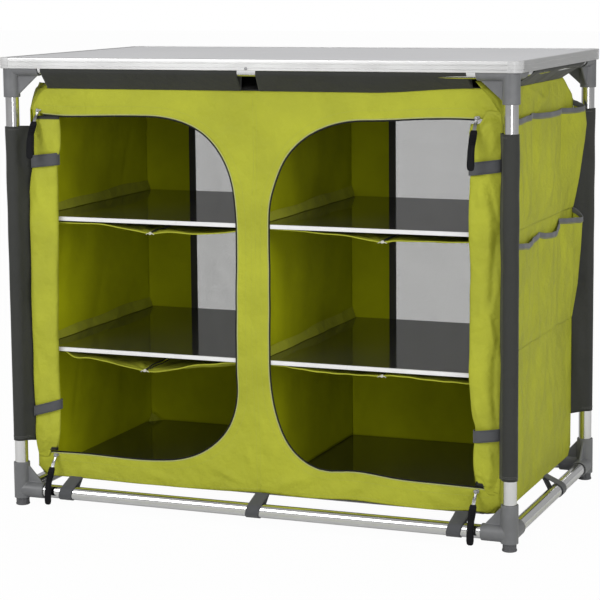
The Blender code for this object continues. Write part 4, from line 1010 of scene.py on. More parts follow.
def build_sides_and_divider():
    """Side walls and the wall between the two columns: a grid whose rows narrow at the cut corners."""
    wall = dict(thickness=CLOTH, flat=(2 * BODY_Y, BODY_TOP - BODY_BOTTOM), rests_on=["roof_cloth", "floor_cloth"])
    foot, head = HEM_Z + FOOT_CUT_DOWN, BODY_TOP - TOP_CUT_DOWN
    z = np.concatenate([np.linspace(HEM_Z, foot, 10), np.linspace(foot, head, 114)[1:],
                        np.linspace(head, BODY_TOP, 22)[1:]])[:, None]
    low_cut, high_cut = np.clip(foot - z, 0, None), corner_cut((z - head) / TOP_CUT_DOWN)
    front = -(BODY_Y - 0.0035) + low_cut + high_cut * SIDE_CUT_FRONT
    rear = BODY_Y - 0.0035 - low_cut - high_cut * SIDE_CUT_REAR
    y = front + (rear - front) * np.linspace(0, 1, 97)
    for side, name in SIDES:
        cloth_piece("cloth_side_" + name, side_point(side, y, z), grid_of(y, z), green_cloth, **wall,
                    replaces=(name + "_side_panel",), lining=inner_cloth_painted_light, flip=side < 0)
    y, z = np.linspace(-1, 1, 81) * 0.2488, np.linspace(0.0590, BODY_TOP - 0.0006, 121)[:, None]
    sway = ripples(y, z, 31, 0.16, 0.0012) + folds(y, z, [(-200, 500, 200, 360, 20, 2)])
    sway = sway * clear_of_boards(z) * (1 - bell(0.2488 - np.abs(y), 0.02))
    cloth_piece("cloth_divider", grid_of(sway, y, z), grid_of(y, z), divider_cloth_painted_shade, **wall,
                replaces=("centre_divider",))


def patchwork(grids):
    """Several grids, each (points, uv, whether its faces turn), as one set of points, quads and uv."""
    points, quads, uvs, start = [], [], [], 0
    for grid, uv, flip in grids:
        block = grid_quads(*grid.shape[:2]) + start
        points.append(grid.reshape(-1, 3))
        quads.append(block[:, ::-1] if flip else block)
        uvs.append(uv.reshape(-1, 2))
        start += len(points[-1])
    return np.concatenate(points), np.concatenate(quads), np.concatenate(uvs)


def build_gussets():
    """Corner gussets close the cut corners: ruled strips from the front or rear wall's edge to the side wall's.

    The upper strip of a front corner goes on above the seam as a free, creased flap between the sleeves' ends.
    """
    rise = np.concatenate([np.sin(np.linspace(0, math.pi / 2, 17)), 1 + np.linspace(0, 1, 7)[1:]])
    beyond = np.clip(rise - 1, 0, 1)
    t = np.linspace(0, 1, 17)
    for corner, sx, sy in CORNERS:
        flap = {"front_left": 0.009, "front_right": 0.0125}.get(corner, 0.004)
        high_z = BODY_TOP - TOP_CUT_DOWN * (1 - np.minimum(rise, 1)) + flap * beyond
        low_z = np.linspace(HEM_Z + FOOT_CUT_DOWN, HEM_Z, 9)
        side_cut = SIDE_CUT_FRONT if sy < 0 else SIDE_CUT_REAR
        strips = []
        for height, cut, across, along, bulge in (
                (high_z, corner_cut(rise) + 0.30 * beyond, TOP_CUT_ACROSS, side_cut, 0.0040),
                (low_z, np.linspace(0, 1, 9), FOOT_CUT_ACROSS, FOOT_CUT_DOWN, 0.0015)):
            height, cut = height[:, None], cut[:, None]
            x = BODY_X - CLOTH / 2 - cut * across * (1 - t)
            y = (BODY_Y - CLOTH / 2) * (1 - t) + (BODY_Y - 0.0038) * t - cut * along * t
            fold = bulge + 0.0016 * np.sin(t * 11 + height * 150 + sx)
            fold = 0.7 * fold * np.sin(np.pi * t) * np.minimum(cut, 1)
            z = height + top_lift(sx * x, sy * y) * near_top(np.minimum(height, BODY_TOP))
            shift_x, shift_z = front_shift(sx * x, z) * (1 - t) * (sy < 0)
            grid = grid_of(sx * (x + fold) + shift_x, sy * (y + fold), z + shift_z)
            uv = grid_of(cut * (across + along) * 0.7 * (t - 0.5), height)
            strips.append((grid, uv, (sx * sy > 0) != (bulge < 0.002)))
        points, quads, uv = patchwork(strips)
        corners = points[quads]
        across = np.cross(corners[:, 2] - corners[:, 0], corners[:, 3] - corners[:, 1])
        sheet_piece("corner_gusset_" + corner, points, quads, uv, green_cloth, CLOTH,
                    (0.050, 0.080) if sy < 0 else (0.100, 0.070), rests_on=["cloth_front", "cloth_rear"],
                    area=float(np.linalg.norm(across, axis=1).sum() / 2))


# Roof, floor, sleeves and loops

def cut_plate_grid(across, front, rear):
    """The cupboard's plan with cut corners as a grid: each row's half width shrinks at its front and rear."""
    half_x, half_y = BODY_X - 0.0010, BODY_Y - 0.0010
    y = np.concatenate([np.linspace(-half_y, -half_y + front, 9),
                        np.linspace(-half_y + front, half_y - rear, 49)[1:-1],
                        np.linspace(half_y - rear, half_y, 9)])[:, None]
    cut = np.clip((-half_y + front - y) / front, 0, 1) + np.clip((y - half_y + rear) / rear, 0, 1)
    x = np.linspace(-1, 1, 97) * (half_x - across * cut)
    return x, y, (1 - (x / BODY_X) ** 2) * (1 - (y / BODY_Y) ** 2)


def build_roof_and_floor():
    """The top cover and the floor: flat sheets that hang very slightly between their seams."""
    lid = dict(thickness=CLOTH, flat=(2 * BODY_X, 2 * BODY_Y), slot="dark_cloth")
    x, y, inside = cut_plate_grid(TOP_CUT_ACROSS, SIDE_CUT_FRONT, SIDE_CUT_REAR)
    z = BODY_TOP + 0.0008 + inside * (ripples(x, y, 41, 0.2, 0.0015) - 0.0004) + top_lift(x, y)
    cloth_piece("roof_cloth", grid_of(x, y, z), grid_of(x, y), dark_cloth, **lid, replaces=("roof_cover",),
                rests_on=["rail_sleeve_front_left", "rail_sleeve_front_right"])
    x, y, inside = cut_plate_grid(FOOT_CUT_ACROSS, FOOT_CUT_DOWN, FOOT_CUT_DOWN)
    z = BODY_BOTTOM + 0.0009 - np.abs(inside * ripples(x, y, 43, 0.2, 0.0015))
    z = z + front_shift(x, z)[1] * (y < -BODY_Y + 0.003)
    cloth_piece("floor_cloth", grid_of(x, y, z), grid_of(x, y), dark_cloth, **lid, replaces=("floor_panel",),
                rests_on=["loop_front_centre"], flip=True)


def teardrop(seam, centre, radius, count, spread=0.0012):
    """A loop of cloth in section: from a seam along a tangent, round a tube, and back along the other tangent."""
    seam, centre = np.asarray(seam, float), np.asarray(centre, float)
    toward = unit(seam - centre)
    across = np.array([-toward[1], toward[0]])
    open_angle = math.acos(radius / np.linalg.norm(seam - centre))
    t = np.linspace(open_angle, 2 * math.pi - open_angle, 40)[:, None]
    arc = centre + radius * (np.cos(t) * toward + np.sin(t) * across)
    return even(np.concatenate([[seam + across * spread / 2], arc, [seam - across * spread / 2]]), count)


# Each rail sleeve: 0 along x or 1 along y, its side, and its two ends, each at the seam and at the rail, in mm
RAIL_SLEEVES = {
    "front_left": (0, -1, -416, -413, -26.4, -19.5), "front_right": (0, -1, 8.7, 17.2, 406.5, 403),
    "rear_left": (0, 1, -416, -413, -20, -20), "rear_right": (0, 1, 20, 20, 410, 408),
    "left": (1, -1, -160, -150, 152, 195), "right": (1, 1, -214, -169, 152, 195),
}


def build_rail_sleeves():
    """Sleeves of the top cover round the upper rails; their ends are cut on a slant."""
    for name, (axis, sign, *ends) in RAIL_SLEEVES.items():
        half, rail = ((BODY_Y, LEG_Y), (BODY_X, LEG_X))[axis]
        section = teardrop((sign * half, BODY_TOP + 0.0006), (sign * rail, UPPER_Z), TUBE_R + 0.0010, 60)
        rise = np.clip((section[:, 1] - BODY_TOP) / (UPPER_Z - BODY_TOP), 0, 1)
        low_seam, low_rail, high_seam, high_rail = mm(ends)
        low, high = low_seam + (low_rail - low_seam) * rise, high_seam + (high_rail - high_seam) * rise
        run = low + (high - low) * np.linspace(0, 1, 80 if axis else 120)[:, None]
        along = lengths(section)
        sway = ripples(run, along, (61 if axis else 51) + sign, 0.09, 0.0006)
        sway = sway * np.sin(np.pi * np.clip(1 - rise * 1.05, 0, 1))
        across = section[:, 0] + sway * sign * (1 if axis else np.where(along < along[-1] / 2, 1, -0.2))
        drawn = top_lift(sign * BODY_X, run) if axis else top_lift(run, sign * BODY_Y)
        height = section[:, 1] + drawn * (1 - rise)
        grid = grid_of(across, run, height) if axis else grid_of(run, across, height)
        cloth_piece("rail_sleeve_" + name, grid, grid_of(run, along), dark_cloth, 0.0010,
                    (0.360 if axis else abs(high_seam - low_seam), along[-1]), held="hung",
                    rests_on=["upper_rail_" + name.split("_")[0]], slot="dark_cloth",
                    flip=(sign < 0) == bool(axis))


def build_loops():
    """Webbing loops: a flat strap's section carried along a teardrop from the hem round a lower rail."""
    places = [(end + key, 0, sign, x) for end, sign in (("front_", -1), ("rear_", 1))
              for key, x in (("left", -0.382), ("centre", 0.0), ("right", 0.382))]
    for name, axis, sign, spot in places + [("left", 1, -1, 0.060), ("right", 1, 1, 0.060)]:
        half, rail = ((BODY_Y, LEG_Y), (BODY_X, LEG_X))[axis]
        section = teardrop((sign * (half - 0.0015), 0.0560), (sign * rail, LOWER_Z), TUBE_R + 0.0010, 64, 0.0024)
        along, width = lengths(section), 0.026
        lean = 0.006 * np.clip((section[:, 1] - LOWER_Z) / 0.025, -0.3, 1)
        cross = spot + np.linspace(-0.5, 0.5, 9)[:, None] * width + lean * (-1 if axis else 1)
        grid = grid_of(section[:, 0], cross, section[:, 1]) if axis else grid_of(cross, *section.T)
        cloth_piece("loop_" + name, grid, grid_of(along, cross), strap_webbing, 0.0014, (width, along[-1]),
                    held="hung", rests_on=["lower_rail_" + name.split("_")[0]], slot="dark_cloth",
                    flip=(axis == 0) == (sign > 0))


def build_leg_sleeves():
    """Sleeves: cloth round a leg and back to the cupboard's corner, the two layers side by side at the seam."""
    ring = TUBE_R + 0.0011
    for corner, sx, sy in CORNERS:
        low, high = (float(v[2]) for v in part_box("leg_sleeve_" + corner))
        high = high + (0.0045 if corner == "front_right" else 0.0)
        leg = np.array([sx * LEG_X, sy * LEG_Y])
        seam = np.array([sx * (BODY_X - 0.0016), sy * (BODY_Y - 0.0016)])
        section = teardrop(seam, leg, ring, 72, 0.0030)
        along = lengths(section)
        z = np.linspace(low + 0.0004, high - 0.0004, 110)[:, None]
        slack = np.clip((np.linalg.norm(section - leg, axis=1) - ring) / (0.0335 - ring), 0, 1)
        loose = np.sin(np.pi * slack) ** 0.8
        sway = ripples(along, z, 70 + sx + 3 * sy, 0.120, 0.0010) + 0.0006 * np.sin(z * 34 + sx)
        if sy > 0:
            sway = sway + 0.0016 * np.sin((z - low) / (high - low) * 3 * math.pi)
        toward, outward = unit(seam - leg), unit(section - leg)
        puff = np.abs(0.0005 + 0.0004 * np.sin(z * 61 + 2 * along / ring)) * bell(z - high, 0.25) * (1 - loose)
        flat = section + (sway * loose)[..., None] * (-toward[1], toward[0]) + puff[..., None] * outward
        if corner == "front_left":
            flat[..., 0] += front_shift(-BODY_X, z)[0] * slack
        tilt = np.where(slack > 0.02, 0.004 * slack, 0) * np.clip((low + 0.05 - z) / 0.05, 0, 1)
        grid = grid_of(flat[..., 0], flat[..., 1], z - tilt)
        cloth_piece("sleeve_leg_" + corner, grid, grid_of(along, z), dark_cloth, 0.0010, (along[-1], high - low),
                    held="hung", rests_on=["leg_tube_" + corner], slot="dark_cloth", flip=True,
                    replaces=("leg_sleeve_" + corner,))
        middle = even(section[8:-8], 90)
        out = unit(middle - leg)
        rows = [stitches(grid_of(*(middle + out * 0.0006).T, height), grid_of(*out.T, 0),
                         0.0032, 0.0022, 0.0005, 0.0004)
                for height in (low + 0.006, low + 0.0085, high - 0.006)]
        sewn_piece("stitching_leg_" + corner, rows, stitch_pale)


def stitches(path, out, pitch=0.0034, length=0.0024, width=0.0005, height=0.0004):
    """Rows of small raised blocks along a path (n, 3): each is length long on the path, standing out along out."""
    at = lengths(path)
    spots = np.arange(pitch / 2, at[-1], pitch)

    def there(values):
        return np.stack([np.interp(spots, at, v) for v in np.broadcast_to(values, path.shape).T], axis=1)

    middle, ahead, normal = there(path), unit(there(np.gradient(path, axis=0))), unit(there(out))
    across = np.cross(normal, ahead)
    corners = []
    for level, inset in ((-0.3, 1.0), (0.6, 1.0), (1.0, 0.6)):
        for a, b in ((-1, -1), (1, -1), (1, 1), (-1, 1)):
            corners.append(middle + ahead * a * length / 2 * (1 - (1 - inset) * 0.4)
                           + across * b * width / 2 * inset
                           + normal * height * level)
    points = np.stack(corners, axis=1).reshape(-1, 3)
    walls = [(i + k, (i + 1) % 4 + k, (i + 1) % 4 + k + 4, i + k + 4) for k in (0, 4) for i in range(4)]
    block = np.array([(0, 3, 2, 1), *walls, (8, 9, 10, 11)])
    quads = (block[None] + 12 * np.arange(len(spots))[:, None, None]).reshape(-1, 4)
    return points, quads, np.zeros((0, 3), int)


# Net windows, doorway binding and zips

def build_windows():
    """Net sheets behind the rear wall's openings, with a dark binding round each window, inside and outside."""
    u, v = np.linspace(-1, 1, 41), np.linspace(-1, 1, 61)[:, None]
    half_x, half_z, corner = WINDOW_HALF_X + 0.013, WINDOW_HALF_Z + 0.013, 0.040
    over = np.clip(np.abs(v) * half_z - (half_z - corner), 0, corner)
    for side, name in SIDES:
        x = side * WINDOW_X + u * (half_x - (corner - np.sqrt(corner ** 2 - over ** 2)))
        z = WINDOW_Z + v * half_z
        slack = (1 - u ** 4) * (1 - v ** 4)
        y = BODY_Y + 0.0005 + 0.0012 * slack * np.abs(ripples(x, z, 80 + side, 0.12, 1.0)) / 1.5
        cloth_piece("net_" + name, grid_of(x, y, z), grid_of(x, z), net_grey, 0.0004, (2 * half_x, 2 * half_z),
                    rests_on=["cloth_rear"], slot="net", replaces=("rear_mesh",) if side < 0 else (), flip=True)
        for where, y_face, out in (("inside", BODY_Y - CLOTH - 0.0002, -1), ("outside", BODY_Y + 0.0016, 1)):
            rings = []
            for beyond, radius, level in ((0.0055, 0.034, y_face), (0.0105, 0.037, y_face + out * 0.0006)):
                ring = rounded_outline(WINDOW_HALF_X + beyond, WINDOW_HALF_Z + beyond, radius, 10,
                                       (side * WINDOW_X, WINDOW_Z))
                ring = even(np.concatenate([ring, ring[:1]]), 241)
                rings.append(grid_of(ring[:, 0], level, ring[:, 1]))
            band = sweep(rings[0][:-1], (0, 1, 0), slab_profile(0.0012, 0.0140), loop=True)
            solid_piece("window_binding_" + where + "_" + name, [band], dark_tape)
            row = stitches(rings[1], (0.0, out, 0.0), height=0.0004)
            sewn_piece("window_stitching_" + where + "_" + name, [row], stitch_dark)


def zip_line(side):
    """The doorway's edge along its zip: from the upper outer corner round the inner side to the lower one."""
    line = even(zip_outline(), 420)
    covered = (line[:, 1] > 0.72) & (line[:, 0] > (0.416 if side > 0 else 0.432))
    return line[~covered] * (side, 1)


def build_door_edges():
    """Binding folded over the doorway's edge, a zip tape inside it, and a row of small teeth on the tape."""
    front, standing = (0.0, -1.0, 0.0), (0, 1, 0)
    for side, name in SIDES:
        line = zip_line(side)
        inward = doorway_normal(line, side)
        inward3 = grid_of(inward[:, 0], 0, inward[:, 1])
        edge = front_point(*(line - inward * 0.0006).T)
        # The binding's pale colour is a painted highlight along the doorway's edge.
        solid_piece("doorway_binding_" + name, [sweep(edge, standing, slab_profile(0.0020, 0.0024))], binding_painted_highlight)
        path = front_point(*line.T) + inward3 * 0.0018
        solid_piece("zip_tape_" + name, [sweep(path, standing, slab_profile(0.0009, 0.0032))], zip_black)
        teeth = stitches(path + inward3 * 0.0008, front, 0.0021, 0.0013, 0.0016, 0.0011)
        solid_piece("zip_teeth_" + name, [teeth], pull_black, sharp=40, weld=0)
        seam = front_point(*(line - inward * 0.0150).T, CLOTH / 2)
        sewn_piece("doorway_stitching_" + name, [stitches(seam, front, height=0.0003)], stitch_green)
    hems = [stitches(front_point(np.linspace(-0.420, 0.420, 400), 0.0605, CLOTH / 2), front, height=0.0003)]
    for x in (-0.0035, 0.0035):
        path = front_point(x, np.linspace(0.060, 0.786, 300), CLOTH / 2)
        hems.append(stitches(path, front, 0.0036, 0.0025, 0.0004, 0.0003))
    sewn_piece("hem_stitching_front", hems, stitch_green)


# Slings under the shelf boards

# Each shelf's flaps in mm: the knot's x, then along the front edge x, drop below the board, belly behind it
SLING_EDGES = {
    "left_upper": (-214.5, ((-454.5, 5, 0), (-401, 6, 0), (-355, 6.4, 0), (-304, 9, 0), (-254, 15.5, 0),
                            (-214.5, 20, 0), (-179, 17, 1), (-129, 18, 2), (-80, 14.5, 2), (-44, 9.5, 1),
                            (-2, 4, 0))),
    "left_lower": (-230.5, ((-454.5, 1, 0), (-404, 1.5, 0), (-376, 13.5, 0), (-346, 13.5, 0),
                            (-308, 18.5, 0), (-283, 23.5, 0), (-248, 28.5, 0), (-230.5, 30, 0),
                            (-207, 29.5, 3), (-167, 24, 5), (-131, 15, 9), (-80, 7, 12), (-44, 5, 9),
                            (-2, 3.5, 2))),
    "right_upper": (238.5, ((2, 2, 0), (25, 2.8, 0), (108, 6.4, 0), (178, 11.4, 0), (220, 15.7, 0),
                            (238.5, 18.2, 0), (262, 15, 2), (295, 14, 4), (342, 13.5, 6), (396, 12.5, 6),
                            (454.5, 12, 5))),
    "right_lower": (236.5, ((2, 2, 0), (29, 3.4, 0), (85, 8.4, 0), (146, 12, 1), (190, 11.6, 2),
                            (236.5, 10.5, 0), (262, 9.6, 1), (318, 11.5, 1), (396, 14.6, 0), (454.5, 15, 0))),
}


def sling_drop(name, x, d):
    """How far a flap hangs below its board: the front edge's line, slighter at mid depth, and a belly."""
    line = smooth_path(mm(SLING_EDGES[name][1]), 400)
    at_edge, more = (np.interp(x, line[:, 0], line[:, i]) for i in (1, 2))
    return at_edge * (1 - 0.40 * np.sin(np.pi * d)) + more * (1 - bell(d, 0.035)) * bell(d - 0.08, 0.16)


def build_slings():
    """Two flaps a shelf, tied together under the board's middle at the front and the rear."""
    inner_x, outer_x, front, rear = 0.00175, 0.4545, -0.2447, 0.2485
    s, d = np.linspace(0, 1, 81) ** 1.4, (np.linspace(0, 1, 71) ** 1.25)[:, None]
    for side, wide in SIDES:
        for number, level in enumerate(("lower", "upper")):
            name = wide + "_" + level
            top = float(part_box("shelf_board_" + name)[1][2])
            under = top - 0.0040 - 0.0009
            knot_x = SLING_EDGES[name][0] / 1000
            flaps = []
            for flap in (-1, 1):
                edge = side * (outer_x if flap * side > 0 else inner_x)
                lip = knot_x + flap * (0.0016 + 0.0040 * np.sin(np.pi * d))
                lip = lip + 0.006 * np.sin(2 * np.pi * d) * (1 - d)
                x, y = lip + (edge - lip) * s, front + (rear - front) * d
                tied = np.hypot(x - knot_x, (y - front) * 0.5)
                gather = 0.0013 * np.sin(tied / 0.0042 * 2 * np.pi + flap) * bell(tied - 0.008, 0.008)
                round_knot = np.arctan2(y - front, np.abs(x - knot_x))
                pleat = 0.0012 * np.sin(round_knot * 11 + number) * bell(tied - 0.02, 0.03) * (d > 0.01)
                soft = ripples(x, y, 60 + number + side, 0.070, 0.0009) * np.clip((1 - s) * 8, 0, 1)
                z = under - np.maximum(sling_drop(name, x, d) + gather + pleat + soft, 0.0002)
                flaps.append((grid_of(x, y, z), grid_of(x, y), flap < 0))
            sheet_piece("sling_" + name, *patchwork(flaps), green_cloth, 0.0009, (outer_x - inner_x, rear - front),
                        held="hung", rests_on=["cloth_side_" + wide, "cloth_divider"],
                        replaces=("shelf_sling_" + name,))
            build_sling_details(name, [grid for grid, _, _ in flaps], knot_x, under, front, rear)
            build_sling_seams(name, side, top)


def build_sling_details(name, flaps, knot_x, under, front, rear):
    """Rolled hems along the flaps' front edges, and a cord knot with two short ends at the front and the rear."""
    hems = [sweep(grid[0] + (0, 0.0004, 0), (0, 1, 0), circle(0.0012, 10)) for grid in flaps]
    solid_piece("sling_hem_" + name, hems, green_cloth)
    # Dark cords along each flap's inner lip, which make the slit between the two flaps dark.
    edging = [sweep(grid[:, 0] + (0, 0, 0.0004), (0, 0, 1), circle(0.0012, 10)) for grid in flaps]
    solid_piece("sling_edging_" + name, edging, stitch_dark)
    knots = []
    turn = circle(1.0, 28)
    for y, share in ((front - 0.0004, 0.0), (rear - 0.003, 1.0)):
        place = (knot_x, y, under - float(sling_drop(name, knot_x, share)))
        for lean, size in ((0.5, 0.0021), (-0.6, 0.0019), (1.3, 0.0017)):
            ring = grid_of(turn[:, 0] * size, turn[:, 1] * 0.0018 * math.cos(lean),
                           turn[:, 1] * size * 0.75 + turn[:, 0] * lean * 0.0012)
            knots.append(sweep(ring + place, (0.2, 1, 0.3), circle(0.0009, 8), loop=True))
        for way in (-1, 1):
            tail = mm([(0, 0, 0), (2.5, -0.8, -0.8), (5.0, -1.0, -0.2), (8.0, -0.4, -2.6)]) * (way, 1, 1)
            knots.append(sweep(smooth_path(tail + place, 16), (0, 1, 0.1), circle(0.0007, 8)))
    solid_piece("sling_knots_" + name, knots, tie_cord)


def build_sling_seams(name, side, top):
    """The sling's sewn upper edge: a narrow flap that leans from the wall onto each side of the board."""
    strips = []
    y = np.linspace(-0.243, 0.243, 90)
    for wall, way in ((0.4548, -1), (0.0018, 1)):
        lift = 0.018 + 0.0014 * np.sin(y * 31 + wall * 9) + 0.003 * np.sin(y * 9)
        foot = grid_of(side * (wall + way * (0.0075 + 0.0010 * np.sin(y * 40))), y, top + 0.0006)
        head = grid_of(side * (wall + way * 0.0004), y, top + lift)
        outer = np.stack([foot, (foot + head) / 2 + (side * way * 0.0006, 0, -0.0008), head], axis=1)
        inner = outer[:, ::-1] + (side * way * 0.0006, 0, 0.0003)
        strips.append(skin(np.concatenate([outer, inner], axis=1)))
    solid_piece("sling_seam_" + name, strips, green_cloth, sharp=60)


# Rolled up doors and their straps

# Each roll's two straps in mm: height, width, rise to the right
STRAPS = {
    -1: ((658.5, 23, 3), (188.5, 19, 8)),
    1: ((666.8, 22.5, 3.5), (198.4, 21.5, 3)),
}

# The rolls' inner edges in mm: height, distance from the middle plane
ROLL_EDGES = {
    -1: ((100, 409), (122, 406.5), (150, 403.5), (200, 401.5), (240, 403), (330, 403), (410, 401),
         (490, 398.5), (550, 397), (620, 396), (660, 396), (685, 389), (742, 389)),
    1: ((100, 410.5), (130, 410), (170, 410.5), (200, 412), (214, 412.5), (230, 408.8), (250, 406.2),
        (300, 402.5), (350, 403.3), (450, 404), (480, 405), (520, 403.5), (550, 401.5), (600, 402),
        (650, 403.2), (700, 402), (730, 401.2), (770, 404)),
}

# The rolls' outer edges in mm: height, distance from the middle plane
ROLL_OUTER = {
    -1: ((100, 457), (600, 456), (640, 450), (665, 445.5), (700, 443.5), (770, 443.5)),
    1: ((100, 458.8), (770, 458.8)),
}

# Each crease on a roll's front, in mm: from x, z to x, z, width, height (outward is plus)
ROLL_CREASES = {
    -1: ((-420, 735, -414, 672, 4, 2.7), (-404, 700, -410, 672, 3, -2.4), (-440, 640, -428, 560, 6, 2.7),
         (-412, 640, -420, 600, 4, -2), (-448, 480, -440, 330, 6, 2.4), (-410, 440, -418, 300, 5, -1.7),
         (-430, 230, -424, 205, 4, -2.4), (-430, 170, -438, 120, 5, 2.7), (-446, 300, -430, 215, 4, 2.4),
         (-452, 130, -415, 118, 2.5, 1.7)),
    1: ((440, 738, 430, 690, 4, -3.7), (452, 725, 440, 684, 3.5, 2.7), (419, 655, 427, 585, 4.5, 3.7),
        (436, 650, 450, 570, 4.5, -5.4), (424, 600, 432, 500, 6, -2.4), (441, 585, 436, 500, 4, 2.7),
        (455, 560, 440, 440, 5, -5.1), (452, 500, 438, 415, 4, -5.1), (430, 470, 424, 380, 6, 3.1),
        (438, 420, 452, 345, 4, 3.7), (454, 372, 446, 270, 4.5, -5.8), (428, 350, 432, 240, 6, 2.4),
        (444, 290, 452, 215, 3.5, -3.4), (414, 260, 426, 210, 4, 2.7), (436, 188, 446, 130, 4, 3.4),
        (424, 186, 420, 128, 4.5, -2.7), (410, 130, 452, 118, 2.4, 2), (412, 122, 450, 111, 2, -1.7)),
}


def door_heights(x):
    """Lower and upper edge of the door's cloth at a distance x from the cupboard's middle plane."""
    heights = []
    for (across, rise), base, sign in zip(DOOR_BENDS[::-1], (DOOR_FOOT, DOOR_TOP), (1, -1)):
        inside = np.clip((DOOR_INNER + across - np.maximum(x, DOOR_INNER)) / across, 0, 1)
        heights.append(base + sign * rise * (1 - (1 - inside ** 2.2) ** (1 / 2.2)))
    return heights


def build_rolled_doors():
    """A door is one sheet: a flat run along the stile, then a flattened spiral that turns forward and outward.

    The spiral's half width and half depth shrink by a fixed pitch a turn. The roll is narrowed under the straps,
    swells between them, flattens at its two ends, and its front has slanting creases.
    """
    half_width, half_depth, pitch, flush = 0.0265, 0.0064, 0.0013, -(BODY_Y + 0.0007)
    run = 0.449 - (0.403 + half_width + 0.0004)
    turns, seam = np.linspace(0, 3.75, 181), np.linspace(0, 1, 12)[:-1]
    angle = 2 * math.pi * (turns - 0.25)
    c, s = np.cos(angle), np.sin(angle)
    spiral = grid_of((half_width - pitch * turns) * np.sign(c) * np.abs(c) ** 0.75,
                     (half_depth - pitch * turns) * np.sign(s) * np.abs(s) ** 0.9)
    u_x, u_y = np.concatenate([grid_of(-run * (1 - seam), -half_depth), spiral]).T
    length = np.concatenate([run * seam, run + lengths(spiral)])
    turns = np.concatenate([0 * seam, turns])
    on_roll, on_front = np.clip(turns * 4, 0, 1), np.clip(turns * 5, 0, 1)
    outer_part = ease(((0.4588 + 0.405) / 2 - u_x * (0.4588 - 0.405) / 2 / half_width - 0.420) / 0.014)
    longer = np.exp(-(turns / 1.1) ** 4) * on_roll * outer_part
    share = np.linspace(0, 1, 260)[:, None]
    level = 0.106 + 0.635 * share
    for side, name in SIDES:
        right = side > 0
        pinch = sum(bell(level - at / 1000, 0.022) for at, _, _ in STRAPS[side])
        swell = 1 + 0.34 * np.sin(np.pi * share) ** 0.7 - 0.34 * pinch
        swell = swell + 0.06 * np.sin(level * 23 + side) + 0.04 * np.sin(level * 41 + 2 * side)
        swell = swell - 0.72 * bell(level - 0.106, 0.026) - 0.40 * bell(level - 0.741, 0.012)
        low, high = door_heights(DOOR_OUTER - np.maximum(length - 0.012, 0))
        low, high = low + 0.006 - 0.016 * longer, high - 0.006 + 0.024 * longer * right
        z = low + (high - low) * share
        inner_edge = np.interp(z, *smooth_path(mm(ROLL_EDGES[side]), 200).T)
        outer_edge = np.interp(z, *mm(ROLL_OUTER[side]).T)
        width_gain = 1 + (np.minimum(swell, 1.05) - 1) * on_roll * 0.16
        x = side * (outer_edge + inner_edge - u_x / half_width * width_gain * (outer_edge - inner_edge)) / 2
        depth_gain = 1 + (swell - 1) * on_roll * np.where(u_y > 0, 1.0, 0.15)
        push = ripples(x, z * 0.5, 70 + side, 0.045, 0.0009) + folds(x, z, ROLL_CREASES[side])
        push = push - 0.0070 * ease((x - 0.4360) / 0.0200) * right
        push = push * on_front * (1 - 0.7 * np.clip(pinch, 0, 1)) * np.clip((u_y + 0.004) / 0.006, 0, 1)
        y = -(BODY_Y + 0.0007) - (u_y + half_depth) * depth_gain - np.clip(push, -0.0075, 0.0035)
        near_end = ease((0.020 - (z - low)) / 0.020)
        if right:
            near_end = np.maximum(near_end, ease((0.024 - (high - z)) / 0.024))
        y = y + (flush - y) * near_end * longer * 0.92
        tape = (np.minimum(z - low, high - z) < 0.0085) & (turns > 0.95)
        tape = tape | ((high - z < 0.0065) & (on_roll > 0) & (not right))
        tape = tape | ((z - low < 0.0060) & (on_roll > 0) & (outer_part < 0.3))
        tape = tape & ~((z < 0.2) & (side * x > 0.4300))
        piece = cloth_piece("door_roll_" + name, grid_of(x, y, z), grid_of(length, z), door_cloth, 0.0007,
                            (0.413, 0.647), held="folded",
                            rests_on=["doorway_straps_" + name, "cloth_front"], area=None,
                            replaces=("rolled_door_" + name,), flip=right)
        layer = piece.data.attributes.new("tape", "FLOAT", "POINT")
        layer.data.foreach_set("value", tape.astype(np.float32).ravel())


# The straps' way round a roll, seen from above: x, y in mm
STRAP_PATH = ((448, -251.6), (455.5, -252.2), (458.4, -256), (457, -261.2), (450, -265.2), (436, -267.2),
              (421, -267.4), (410, -266.2), (403.5, -262.5), (400.8, -257.5), (402.2, -252.2), (408.5, -249.6),
              (420, -248.8), (440, -248.4), (448, -248.4))


def build_straps():
    """Straps round each roll: from a seam on the stile over its front, round the inner edge and behind it."""
    line = smooth_path(mm(STRAP_PATH), 84)
    low, high = 0.4008, 0.4584
    for side, name in SIDES:
        straps, lines, total = [], [], 0.0
        for height, width, slope in mm(STRAPS[side]):
            inner = np.interp(height, *mm(ROLL_EDGES[side]).T) - 0.0022
            outer = 0.4504 if side < 0 and height > 0.5 else high
            across = side * (inner + (line[:, 0] - low) * (outer - inner) / (high - low))
            points = grid_of(across, line[:, 1], height + slope * (line[:, 0] - 0.4295) / 0.027 * side)
            v = np.linspace(-0.5, 0.5, 9)[:, None] * width
            along = lengths(points)
            total += along[-1]
            straps.append((points + v[..., None] * (0, 0, 1.0), grid_of(along, v), side > 0))
            lines += [stitches(points[8:38] + (0, -0.0008, edge * width), (0, -1, 0),
                               0.0030, 0.0021, 0.0004, 0.0003)
                      for edge in (-0.4, 0.4)]
        sheet_piece("doorway_straps_" + name, *patchwork(straps), strap_webbing, 0.0012, (total, 0.020),
                    rests_on=["cloth_front"], slot="dark_cloth")
        sewn_piece("strap_stitching_" + name, lines, stitch_dark)


# Pockets on the right side

